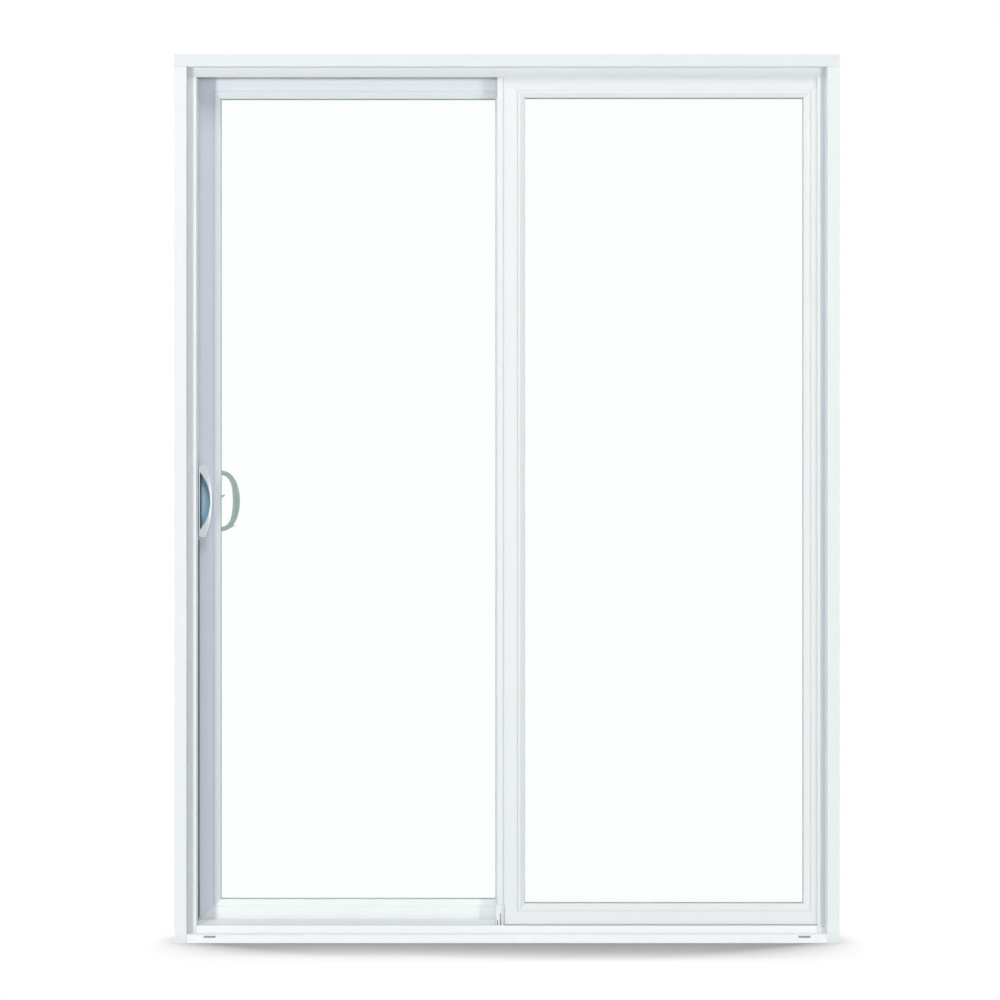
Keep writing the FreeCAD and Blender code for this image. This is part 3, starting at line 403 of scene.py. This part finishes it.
def vinyl_for(name):
    """The vinyl of a node, by its panel and by which way the member runs."""
    level = "_top" in name or "_bottom" in name
    if name in ("lock_stile", "sliding_interlock_stile") or name.startswith("sliding_"):
        return sliding_level if level else sliding_upright
    if name.startswith("fixed_") and name not in ("fixed_jamb", "fixed_interlock"):
        return fixed_level if level else fixed_upright
    return frame_upright


def finish_nodes():
    """Give every node of the frame its finish."""
    for part in frame["record"]["subparts"]:
        node = nodes[part["node"]]
        finish = FINISH_BY_NODE.get(part["node"]) or FINISH_BY_SLOT.get(part["material_slot"])
        finish = finish or vinyl_for(part["node"])
        node.data.materials.clear()
        node.data.materials.append(finish)


finish_nodes()


# World and floor

def make_world():
    """Even light from all round; rays from the camera, off gloss and through glass see white."""
    world = bpy.data.worlds.new("studio")
    bpy.context.scene.world = world
    world.use_nodes = True
    tree = world.node_tree
    tree.nodes.clear()
    light = tree.nodes.new("ShaderNodeBackground")
    light.inputs["Color"].default_value = (0.58, 0.68, 1.0, 1)
    light.inputs["Strength"].default_value = 0.215
    white = tree.nodes.new("ShaderNodeBackground")
    white.inputs["Color"].default_value = (1, 1, 1, 1)
    white.inputs["Strength"].default_value = 1.0
    finish = Finish.__new__(Finish)
    finish.tree = tree
    mix = tree.nodes.new("ShaderNodeMixShader")
    output = tree.nodes.new("ShaderNodeOutputWorld")
    finish.link(finish.seen_directly(), mix.inputs["Fac"])
    finish.link(light.outputs[0], mix.inputs[1])
    finish.link(white.outputs[0], mix.inputs[2])
    finish.link(mix.outputs[0], output.inputs["Surface"])


def make_floor():
    """A white floor that shows only the soft shade at the foot of the door."""
    bpy.ops.mesh.primitive_plane_add(size=60, location=(0, 0, 0))
    floor = bpy.context.object
    floor.name = "floor"
    finish = Finish("studio_floor")
    finish.shader.inputs["Base Color"].default_value = (0.92, 0.93, 0.95, 1)
    finish.shader.inputs["Roughness"].default_value = 0.9
    contact = finish.openness(0.05, samples=16)
    front = finish.openness(0.30, (0, 0.7, 0.7), samples=16)
    shade = finish.math("MULTIPLY", finish.math("POWER", front, 2.8), contact)
    shade = finish.span(shade, 0.33, 1.0)
    x, y, z = finish.axes()
    from_middle = finish.math("ABSOLUTE", x, 0.0)
    from_foot = finish.math("SUBTRACT", finish.math("ABSOLUTE", y, 0.0), 0.058)
    spread = finish.math("MULTIPLY", finish.math("MAXIMUM", from_foot, 0.0), 1.6)
    past = finish.math("ADD", finish.math("SUBTRACT", from_middle, 0.68), spread)
    beside = finish.math("DIVIDE", past, finish.math("ADD", spread, 0.13))
    beside = finish.span(beside, 0.0, 1.0)
    shade_left = finish.math("MULTIPLY", finish.math("SUBTRACT", 1.0, shade), beside)
    clear = finish.math("ADD", shade, shade_left)
    glow = finish.node("ShaderNodeEmission")
    glow.inputs["Color"].default_value = (1, 1, 1, 1)
    finish.link(clear, glow.inputs["Strength"])
    mix = finish.node("ShaderNodeMixShader")
    finish.link(finish.seen_directly(), mix.inputs["Fac"])
    finish.link(finish.shader.outputs["BSDF"], mix.inputs[1])
    finish.link(glow.outputs[0], mix.inputs[2])
    finish.link(mix.outputs[0], finish.output.inputs["Surface"])
    floor.data.materials.append(finish.material)


make_world()
make_floor()


# Modelling

MM = 0.001
OUTWARD = Vector((0, -1, 0))
INWARD = Vector((0, 1, 0))


def settle(piece):
    """Put the piece's place and turn into its mesh."""
    bpy.ops.object.mode_set(mode="OBJECT")
    bpy.ops.object.select_all(action="DESELECT")
    piece.select_set(True)
    bpy.context.view_layer.objects.active = piece
    bpy.ops.object.transform_apply(location=True, rotation=True, scale=True)


def edit(piece, wanted=None):
    """Open a piece for editing with all faces selected, or those that the test picks."""
    bpy.ops.object.mode_set(mode="OBJECT")
    bpy.ops.object.select_all(action="DESELECT")
    piece.select_set(True)
    bpy.context.view_layer.objects.active = piece
    for part in (*piece.data.vertices, *piece.data.edges, *piece.data.polygons):
        part.select = wanted is None
    if wanted is not None:
        for face in piece.data.polygons:
            face.select = wanted(face)
    bpy.ops.object.mode_set(mode="EDIT")


def facing(direction):
    """A test for faces that look one way."""
    return lambda face: face.normal.dot(direction) > 0.9


def block(name, low, high):
    """A box between two corners, as the start of a piece."""
    low, high = Vector(low), Vector(high)
    bpy.ops.mesh.primitive_cube_add(size=1, location=(low + high) / 2)
    piece = bpy.context.object
    piece.name = name
    piece.scale = high - low
    settle(piece)
    return piece


def soften(piece, radius, segments=2):
    """Round all the edges of a piece."""
    bevel = piece.modifiers.new("rounding", "BEVEL")
    bevel.width = radius
    bevel.segments = segments
    bevel.limit_method = "ANGLE"
    bevel.angle_limit = math.radians(30)
    bpy.context.view_layer.objects.active = piece
    bpy.ops.object.modifier_apply(modifier=bevel.name)


def smooth(piece, angle=35):
    """Shade a piece smooth except at its sharp edges."""
    bpy.ops.object.mode_set(mode="OBJECT")
    bpy.ops.object.select_all(action="DESELECT")
    piece.select_set(True)
    bpy.context.view_layer.objects.active = piece
    bpy.ops.object.shade_smooth_by_angle(angle=math.radians(angle))


def carve(piece, cutter):
    """Cut one piece out of another and remove the cutter."""
    cutting = piece.modifiers.new("carve", "BOOLEAN")
    cutting.operation = "DIFFERENCE"
    cutting.solver = "EXACT"
    cutting.object = cutter
    bpy.context.view_layer.objects.active = piece
    bpy.ops.object.modifier_apply(modifier=cutting.name)
    bpy.data.objects.remove(cutter)


def dress(piece, finish, body):
    """Give a piece its finish and its body."""
    bpy.ops.object.mode_set(mode="OBJECT")
    piece.data.materials.clear()
    piece.data.materials.append(finish)
    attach(piece, body)
    return piece


def glazing_lip(name, body, opening, y, height, direction, thickness, finish):
    """A soft lip round the daylight opening of a panel, where the glass meets its frame."""
    left, right, bottom, top = opening
    width, tall = right - left, top - bottom
    bpy.ops.mesh.primitive_plane_add(
        size=1, location=((left + right) / 2, y, (bottom + top) / 2), rotation=(math.radians(90), 0, 0)
    )
    piece = bpy.context.object
    piece.name = name
    piece.scale = (width, tall, 1)
    settle(piece)
    edit(piece)
    bpy.ops.mesh.inset(thickness=thickness)
    bpy.ops.mesh.delete(type="FACE")
    bpy.ops.mesh.select_all(action="SELECT")
    bpy.ops.mesh.extrude_region_move(TRANSFORM_OT_translate={"value": direction * height})
    bpy.ops.mesh.select_all(action="SELECT")
    bpy.ops.mesh.normals_make_consistent(inside=False)
    bpy.ops.object.mode_set(mode="OBJECT")
    soften(piece, 0.5 * MM)
    smooth(piece)
    return dress(piece, finish, body)


def daylight(panel):
    """Left, right, bottom and top of the glass that shows in a panel."""
    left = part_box(f"{panel}_bead_left")[1].x
    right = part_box(f"{panel}_bead_right")[0].x
    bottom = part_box(f"{panel}_bead_bottom")[1].z
    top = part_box(f"{panel}_bead_top")[0].z
    return left, right, bottom, top


def make_glazing_lips():
    """Lips on both sides of the glass in both panels."""
    for panel, body in (("fixed", "frame"), ("sliding", "sliding_panel")):
        opening = daylight(panel)
        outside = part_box(f"{panel}_outer_pane")[0].y
        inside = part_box(f"{panel}_inner_pane")[1].y + 0.2 * MM
        glazing_lip(f"{panel}_outer_lip", body, opening, outside, 1.6 * MM, OUTWARD, 1.6 * MM, gasket_green)
        glazing_lip(f"{panel}_inner_lip", body, opening, inside, 1.2 * MM, INWARD, 1.0 * MM, gasket_pale)


BULB_REACH = 4.4 * MM


def pile_strip(name, body, low, high, crown, spread):
    """A strip of weatherstrip pile: a backing with a narrower brush standing on one side."""
    piece = block(name, low, high)
    edit(piece, facing(crown))
    bpy.ops.mesh.inset(thickness=spread)
    bpy.ops.mesh.extrude_region_move(TRANSFORM_OT_translate={"value": crown * 1.6 * MM})
    bpy.ops.mesh.select_all(action="SELECT")
    bpy.ops.mesh.normals_make_consistent(inside=False)
    bpy.ops.object.mode_set(mode="OBJECT")
    soften(piece, 0.3 * MM)
    smooth(piece)
    return dress(piece, pile_and_gap_shade, body)


def make_pile():
    """Weatherstrip where the sliding panel meets the lock jamb, below the outside pull."""
    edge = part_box("lock_jamb_filler")[1]
    sill_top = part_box("sill_filler")[1].z
    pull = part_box("outside_pull")[0].z
    # Partly painted shade: the pile goes only below the pull, where the gap beside the lock stile lies in dark
    # shade.
    pile_strip(
        "jamb_pile_lower", "frame",
        (edge.x + BULB_REACH, edge.y - 7 * MM, sill_top + 5 * MM),
        (edge.x + BULB_REACH + 1 * MM, edge.y - 3 * MM, pull - 6 * MM),
        Vector((1, 0, 0)), 0.5 * MM,
    )


# Handles and their hardware

HANDLE_HEIGHT = (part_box("handle_plate")[0].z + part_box("handle_plate")[1].z) / 2
HANDLE_X = (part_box("handle_plate")[0].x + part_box("handle_plate")[1].x) / 2
PLATE_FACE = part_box("handle_plate")[1].y

GRIP_CHORD = 132 * MM
GRIP_BOW = 68 * MM
GRIP_SWEEP = 93
GRIP_TILT = 36
GRIP_WIDTH = 19 * MM
GRIP_FULLNESS = 0.5
GRIP_THICKNESS = 10 * MM
GRIP_STEPS = 60


def joined(pieces, name):
    """Join several pieces into the first one."""
    bpy.ops.object.select_all(action="DESELECT")
    for piece in pieces:
        piece.select_set(True)
    bpy.context.view_layer.objects.active = pieces[0]
    bpy.ops.object.join()
    pieces[0].name = name
    return pieces[0]


def make_grip_bar():
    """The bowed bar: an oval section swung round an arc, then tapered and filled out ring by ring."""
    swing = ((GRIP_CHORD / 2) ** 2 + GRIP_BOW**2) / (GRIP_BOW * 2)
    middle = GRIP_BOW - swing
    sweep = math.radians(GRIP_SWEEP)
    start = (middle + swing * math.cos(sweep), 0, -swing * math.sin(sweep))
    bpy.ops.mesh.primitive_circle_add(vertices=32, radius=0.5, location=start, rotation=(0, sweep, 0))
    bar = bpy.context.object
    bar.scale = (GRIP_WIDTH, GRIP_THICKNESS, 1)
    settle(bar)
    edit(bar)
    bpy.ops.mesh.spin(steps=GRIP_STEPS, angle=2 * sweep, center=(middle, 0, 0), axis=(0, 1, 0))
    bpy.ops.object.mode_set(mode="OBJECT")
    bpy.context.tool_settings.mesh_select_mode = (True, False, False)
    for step in range(GRIP_STEPS + 1):
        angle = -sweep + 2 * sweep * step / GRIP_STEPS
        ring = Vector((middle + swing * math.cos(angle), 0, swing * math.sin(angle)))
        along = Vector((-math.sin(angle), 0, math.cos(angle)))
        for part in (*bar.data.edges, *bar.data.polygons):
            part.select = False
        for point in bar.data.vertices:
            offset = point.co - ring
            point.select = abs(offset.dot(along)) < 0.2 * MM and offset.length < GRIP_WIDTH
        bpy.ops.object.mode_set(mode="EDIT")
        size = 0.55 + 0.45 * math.cos(angle) ** 2
        bpy.ops.transform.resize(value=(size, size, size), center_override=ring)
        fuller = max(math.cos(angle), 0) ** GRIP_FULLNESS - max(math.cos(angle), 0)
        bpy.ops.transform.translate(value=(swing * fuller, 0, 0))
        bpy.ops.object.mode_set(mode="OBJECT")
    bpy.context.tool_settings.mesh_select_mode = (False, True, False)
    edit(bar)
    bpy.ops.mesh.select_all(action="DESELECT")
    bpy.ops.mesh.select_non_manifold()
    bpy.ops.mesh.fill_holes(sides=0)
    bpy.ops.mesh.select_all(action="SELECT")
    bpy.ops.mesh.normals_make_consistent(inside=False)
    bpy.ops.object.mode_set(mode="OBJECT")
    bpy.context.tool_settings.mesh_select_mode = (False, False, True)
    bar.rotation_euler = (0, 0, math.radians(GRIP_TILT))
    bar.location = (HANDLE_X, PLATE_FACE, HANDLE_HEIGHT)
    settle(bar)
    return bar


def grip_foot(up):
    """One flared foot of the grip on its plate."""
    place = (HANDLE_X, PLATE_FACE + 5.5 * MM, HANDLE_HEIGHT + up)
    bpy.ops.mesh.primitive_cone_add(
        vertices=48, radius1=9 * MM, radius2=6.5 * MM, depth=9 * MM, location=place,
        rotation=(math.radians(-90), 0, 0),
    )
    foot = bpy.context.object
    settle(foot)
    edit(foot, facing(OUTWARD))
    bpy.ops.mesh.extrude_region_move(TRANSFORM_OT_translate={"value": OUTWARD * 1.0 * MM})
    bpy.ops.mesh.select_all(action="SELECT")
    bpy.ops.mesh.normals_make_consistent(inside=False)
    bpy.ops.object.mode_set(mode="OBJECT")
    edit(foot, facing(INWARD))
    bpy.ops.mesh.inset(thickness=1.2 * MM)
    bpy.ops.mesh.extrude_region_move(TRANSFORM_OT_translate={"value": INWARD * 0.8 * MM})
    bpy.ops.object.mode_set(mode="OBJECT")
    soften(foot, 0.8 * MM, 3)
    return foot


def make_grip():
    """The smooth inside grip, which stands for the plainer solid."""
    bar = make_grip_bar()
    feet = [grip_foot(side * GRIP_CHORD / 2) for side in (-1, 1)]
    for piece in (bar, *feet):
        smooth(piece, 40)
    grip = joined([bar, *feet], "smooth_inside_grip")
    edit(grip)
    bpy.ops.mesh.bisect(
        plane_co=(HANDLE_X, PLATE_FACE, HANDLE_HEIGHT), plane_no=OUTWARD, clear_outer=True, use_fill=True
    )
    bpy.ops.object.mode_set(mode="OBJECT")
    dress(grip, handle_coat, "sliding_panel")
    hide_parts("inside_grip")


def make_screw_master():
    """A pan-head screw with a cross recess, standing on the floor plane and looking up."""
    bpy.ops.mesh.primitive_cylinder_add(vertices=40, radius=3.4 * MM, depth=1.4 * MM, location=(0, 0, 0.7 * MM))
    screw = bpy.context.object
    settle(screw)
    edit(screw, facing(Vector((0, 0, 1))))
    bpy.ops.mesh.inset(thickness=0.9 * MM)
    bpy.ops.transform.translate(value=(0, 0, 0.5 * MM))
    bpy.ops.object.mode_set(mode="OBJECT")
    soften(screw, 0.25 * MM, 3)
    for turn in (0, 90):
        arm = block("cross", (-1.9 * MM, -0.4 * MM, 0.9 * MM), (1.9 * MM, 0.4 * MM, 3 * MM))
        arm.rotation_euler = (0, 0, math.radians(turn))
        settle(arm)
        carve(screw, arm)
    smooth(screw, 30)
    return screw


def copies(master, places, name, finish, body):
    """Copy a master to each place, looking along a direction, and join the copies."""
    made = []
    for where, direction, turn, size in places:
        bpy.ops.object.select_all(action="DESELECT")
        master.select_set(True)
        bpy.context.view_layer.objects.active = master
        bpy.ops.object.duplicate(linked=False)
        copy = bpy.context.object
        copy.scale = (size, size, size)
        spin = Matrix.Rotation(math.radians(turn), 3, "Z")
        copy.rotation_euler = (Vector(direction).to_track_quat("Z", "Y").to_matrix() @ spin).to_euler()
        copy.location = where
        settle(copy)
        made.append(copy)
    return dress(joined(made, name), finish, body)


def make_screws():
    """Screws of the inside handle, lever, keeper, face plate and frame."""
    master = make_screw_master()
    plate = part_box("handle_plate")
    lever_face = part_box("latch_lever")[1].y
    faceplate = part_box("lock_faceplate")
    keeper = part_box("keeper")
    track_y = (faceplate[0].y + faceplate[1].y) / 2
    copies(master, [
        ((HANDLE_X, PLATE_FACE, plate[0].z + 11 * MM), (0, 1, 0), 20, 1.1),
        ((HANDLE_X, PLATE_FACE, plate[1].z - 11 * MM), (0, 1, 0), 65, 1.1),
    ], "handle_screws", steel, "sliding_panel")
    copies(master, [
        ((HANDLE_X, lever_face, HANDLE_HEIGHT - 1.5 * MM), (0, 1, 0), 10, 1.3),
    ], "lever_screw", steel, "latch")
    copies(master, [
        ((faceplate[0].x, track_y, faceplate[0].z + 12 * MM), (-1, 0, 0), 35, 0.75),
        ((faceplate[0].x, track_y, faceplate[1].z - 12 * MM), (-1, 0, 0), 80, 0.75),
    ], "face_plate_screws", steel, "sliding_panel")
    copies(master, [
        ((keeper[1].x, track_y, keeper[0].z + 12 * MM), (1, 0, 0), 15, 1.0),
        ((keeper[1].x, track_y, keeper[1].z - 12 * MM), (1, 0, 0), 50, 1.0),
    ], "keeper_screws", steel, "frame")
    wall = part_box("sill")[1].x
    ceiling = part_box("head_filler")[1].z
    sides = [((wall, track_y, up), (-1, 0, 0), 30 * up, 1.3) for up in (0.2495, 0.7495, 1.2495, 1.7495)]
    over = [((across, track_y, ceiling), (0, 0, -1), 200 * across, 1.3) for across in (0.25, 0.5)]
    copies(master, sides + over, "installation_screws", steel, "frame")
    bpy.data.objects.remove(master)


def slotted_plate(name, node, direction, slots, finish, body):
    """A bevelled metal plate in a node's place, with slots cut through it."""
    low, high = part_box(node)
    plate = block(name, low, high)
    edit(plate, facing(direction))
    bpy.ops.mesh.inset(thickness=0.5 * MM)
    bpy.ops.object.mode_set(mode="OBJECT")
    middle = (low.y + high.y) / 2
    for start, end, width in slots:
        cutter = block(
            "slot",
            (low.x - 5 * MM, middle - width / 2, low.z + start), (high.x + 5 * MM, middle + width / 2, low.z + end),
        )
        soften(cutter, 1.5 * MM, 3)
        carve(plate, cutter)
    soften(plate, 0.25 * MM, 2)
    smooth(plate, 30)
    dress(plate, finish, body)
    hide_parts(node)


def make_lock_plates():
    """The keeper on the jamb and the lock's face plate, with their slots."""
    slotted_plate(
        "slotted_keeper", "keeper", Vector((1, 0, 0)),
        [(26 * MM, 54 * MM, 9 * MM), (66 * MM, 94 * MM, 9 * MM)], steel, "frame",
    )
    slotted_plate(
        "slotted_face_plate", "lock_faceplate", Vector((-1, 0, 0)),
        [(72 * MM, 128 * MM, 8 * MM)], steel, "sliding_panel",
    )


def make_bumper():
    """The ribbed rubber bumper in the head's channel."""
    low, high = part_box("open_stop")
    bumper = block("ribbed_bumper", low, high)
    edit(bumper, lambda face: abs(face.normal.z) < 0.1)
    bpy.ops.mesh.subdivide(number_cuts=4)
    bpy.ops.object.mode_set(mode="OBJECT")
    tall = (high.z - low.z) / 5
    edit(bumper, lambda face: abs(face.normal.z) < 0.1 and int((face.center.z - low.z) / tall) % 2 == 1)
    bpy.ops.mesh.inset(thickness=0.2 * MM, depth=-1.2 * MM)
    bpy.ops.object.mode_set(mode="OBJECT")
    soften(bumper, 0.5 * MM, 2)
    smooth(bumper, 40)
    dress(bumper, rubber, "frame")
    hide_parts("open_stop")


def make_pull_cup():
    """The blue-grey cup that lines the outside pull's finger recess, its colour painted shade."""
    low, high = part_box("outside_pull")
    rim, width, tall, depth = 3 * MM, 24 * MM, 132 * MM, 14 * MM
    reach = ((tall / 2) ** 2 + width**2) / (width * 2)
    left = low.x + rim
    floor = low.y + depth
    place = (left + width - reach, floor - 0.1 * MM, HANDLE_HEIGHT)
    bpy.ops.mesh.primitive_circle_add(
        vertices=220, radius=reach - 0.1 * MM, fill_type="NGON", location=place,
        rotation=(math.radians(90), 0, 0),
    )
    cup = bpy.context.object
    cup.name = "pull_cup"
    settle(cup)
    edit(cup)
    bpy.ops.mesh.bisect(
        plane_co=(left + 0.1 * MM, 0, 0), plane_no=(-1, 0, 0), clear_outer=True, use_fill=True
    )
    bpy.ops.mesh.select_all(action="SELECT")
    bpy.ops.mesh.extrude_region_move(TRANSFORM_OT_translate={"value": OUTWARD * 13 * MM})
    bpy.ops.mesh.select_all(action="SELECT")
    bpy.ops.mesh.remove_doubles(threshold=0.01 * MM)
    bpy.ops.mesh.normals_make_consistent(inside=False)
    bpy.ops.object.mode_set(mode="OBJECT")
    edit(cup, facing(OUTWARD))
    bpy.ops.mesh.inset(thickness=0.5 * MM)
    bpy.ops.mesh.extrude_region_move(TRANSFORM_OT_translate={"value": INWARD * 12.6 * MM})
    bpy.ops.object.mode_set(mode="OBJECT")
    smooth(cup, 30)
    dress(cup, painted_cup_shade(left), "sliding_panel")


def make_roller_caps():
    """Round caps over the roller adjusters, on the inside of the bottom rail."""
    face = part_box("sliding_bottom_rail")[1].y
    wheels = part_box("roller_wheels")
    middle = (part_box("roller_housings")[0].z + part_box("roller_housings")[1].z) / 2
    bpy.ops.mesh.primitive_cylinder_add(vertices=48, radius=6 * MM, depth=1.2 * MM, location=(0, 0, 0.6 * MM))
    cap = bpy.context.object
    settle(cap)
    edit(cap, facing(Vector((0, 0, 1))))
    bpy.ops.mesh.inset(thickness=1.4 * MM)
    bpy.ops.transform.translate(value=(0, 0, 0.5 * MM))
    bpy.ops.mesh.inset(thickness=0.8 * MM, depth=-0.4 * MM)
    bpy.ops.object.mode_set(mode="OBJECT")
    soften(cap, 0.2 * MM, 2)
    notch = block("notch", (-0.5 * MM, -3 * MM, 1.0 * MM), (0.5 * MM, 3 * MM, 3 * MM))
    carve(cap, notch)
    smooth(cap, 30)
    inset = 14 * MM
    copies(cap, [
        ((wheels[0].x + inset, face, middle), (0, 1, 0), 0, 1.0),
        ((wheels[1].x - inset, face, middle), (0, 1, 0), 0, 1.0),
    ], "roller_adjuster_caps", nylon, "sliding_panel")
    bpy.data.objects.remove(cap)


def make_jamb_bulb():
    """The pale bulb seal up the lock jamb, which carries the pile."""
    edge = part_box("lock_jamb_filler")[1]
    low = (edge.x, edge.y - 8 * MM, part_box("sill_filler")[1].z + 2 * MM)
    high = (edge.x + BULB_REACH - 0.5 * MM, edge.y + 3.4 * MM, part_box("head_filler")[0].z - 2 * MM)
    bulb = block("jamb_bulb_seal", low, high)
    edit(bulb, facing(Vector((1, 0, 0))))
    bpy.ops.mesh.inset(thickness=0.6 * MM)
    bpy.ops.transform.translate(value=(0.5 * MM, 0, 0))
    bpy.ops.object.mode_set(mode="OBJECT")
    soften(bulb, 0.4 * MM, 3)
    smooth(bulb, 50)
    return dress(bulb, bulb_pale, "frame")


def make_sill_shade_seal():
    """A thin dark seal along the foot of the fixed panel, on the sill's stop, that paints the shade line between
    the rail and the stop.
    """
    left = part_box("interlock_plug")[1].x
    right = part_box("fixed_jamb_stile")[1].x
    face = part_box("fixed_bottom_rail")[0].y
    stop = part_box("interlock_plug")[0].z
    piece = block("fixed_panel_shade_seal", (left, face - 1.2 * MM, stop), (right, face, stop + 1.8 * MM))
    edit(piece, facing(OUTWARD))
    bpy.ops.mesh.inset(thickness=0.4 * MM)
    bpy.ops.mesh.extrude_region_move(TRANSFORM_OT_translate={"value": OUTWARD * 0.5 * MM})
    bpy.ops.object.mode_set(mode="OBJECT")
    soften(piece, 0.2 * MM)
    return dress(piece, dark_shade_seal, "frame")


def make_channel_shade_strip():
    """A grey strip along the fixed jamb's stop, from the sill to the head, that paints the shade of the channel
    there.
    """
    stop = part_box("fixed_jamb")[0].x
    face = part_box("interlock_plug")[0]
    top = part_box("head_filler")[1].z - 9 * MM
    strip = block(
        "fixed_jamb_shade_strip",
        (stop + 6.5 * MM, face.y - 1.0 * MM, face.z - 4 * MM), (stop + 16 * MM, face.y, top),
    )
    edit(strip, facing(OUTWARD))
    bpy.ops.mesh.inset(thickness=2.2 * MM)
    bpy.ops.transform.translate(value=(0, 0.6 * MM, 0))
    bpy.ops.object.mode_set(mode="OBJECT")
    soften(strip, 0.3 * MM)
    smooth(strip)
    return dress(strip, channel_shade_grey, "frame")


def make_plug():
    """The slotted plug at the foot of the fixed interlock, with its right side tapered."""
    low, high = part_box("interlock_plug")
    plug = block("tapered_interlock_plug", low, high)
    edit(plug, facing(OUTWARD))
    slim = 1 - 7 * MM / (high.x - low.x)
    bpy.ops.transform.resize(value=(slim, 1, 1), center_override=low)
    bpy.ops.object.mode_set(mode="OBJECT")
    for left, tall in ((2 * MM, 13 * MM), (9 * MM, 27 * MM)):
        slot = block(
            "slot", (low.x + left, low.y - 5 * MM, low.z - 5 * MM),
            (low.x + left + 2.2 * MM, high.y + 5 * MM, low.z + tall),
        )
        soften(slot, 0.8 * MM, 3)
        carve(plug, slot)
    soften(plug, 0.5 * MM)
    smooth(plug)
    dress(plug, frame_upright, "frame")
    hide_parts("interlock_plug")


make_glazing_lips()
make_channel_shade_strip()
make_plug()
make_pile()
make_jamb_bulb()
make_sill_shade_seal()
make_grip()
make_screws()
make_lock_plates()
make_bumper()
make_pull_cup()
make_roller_caps()
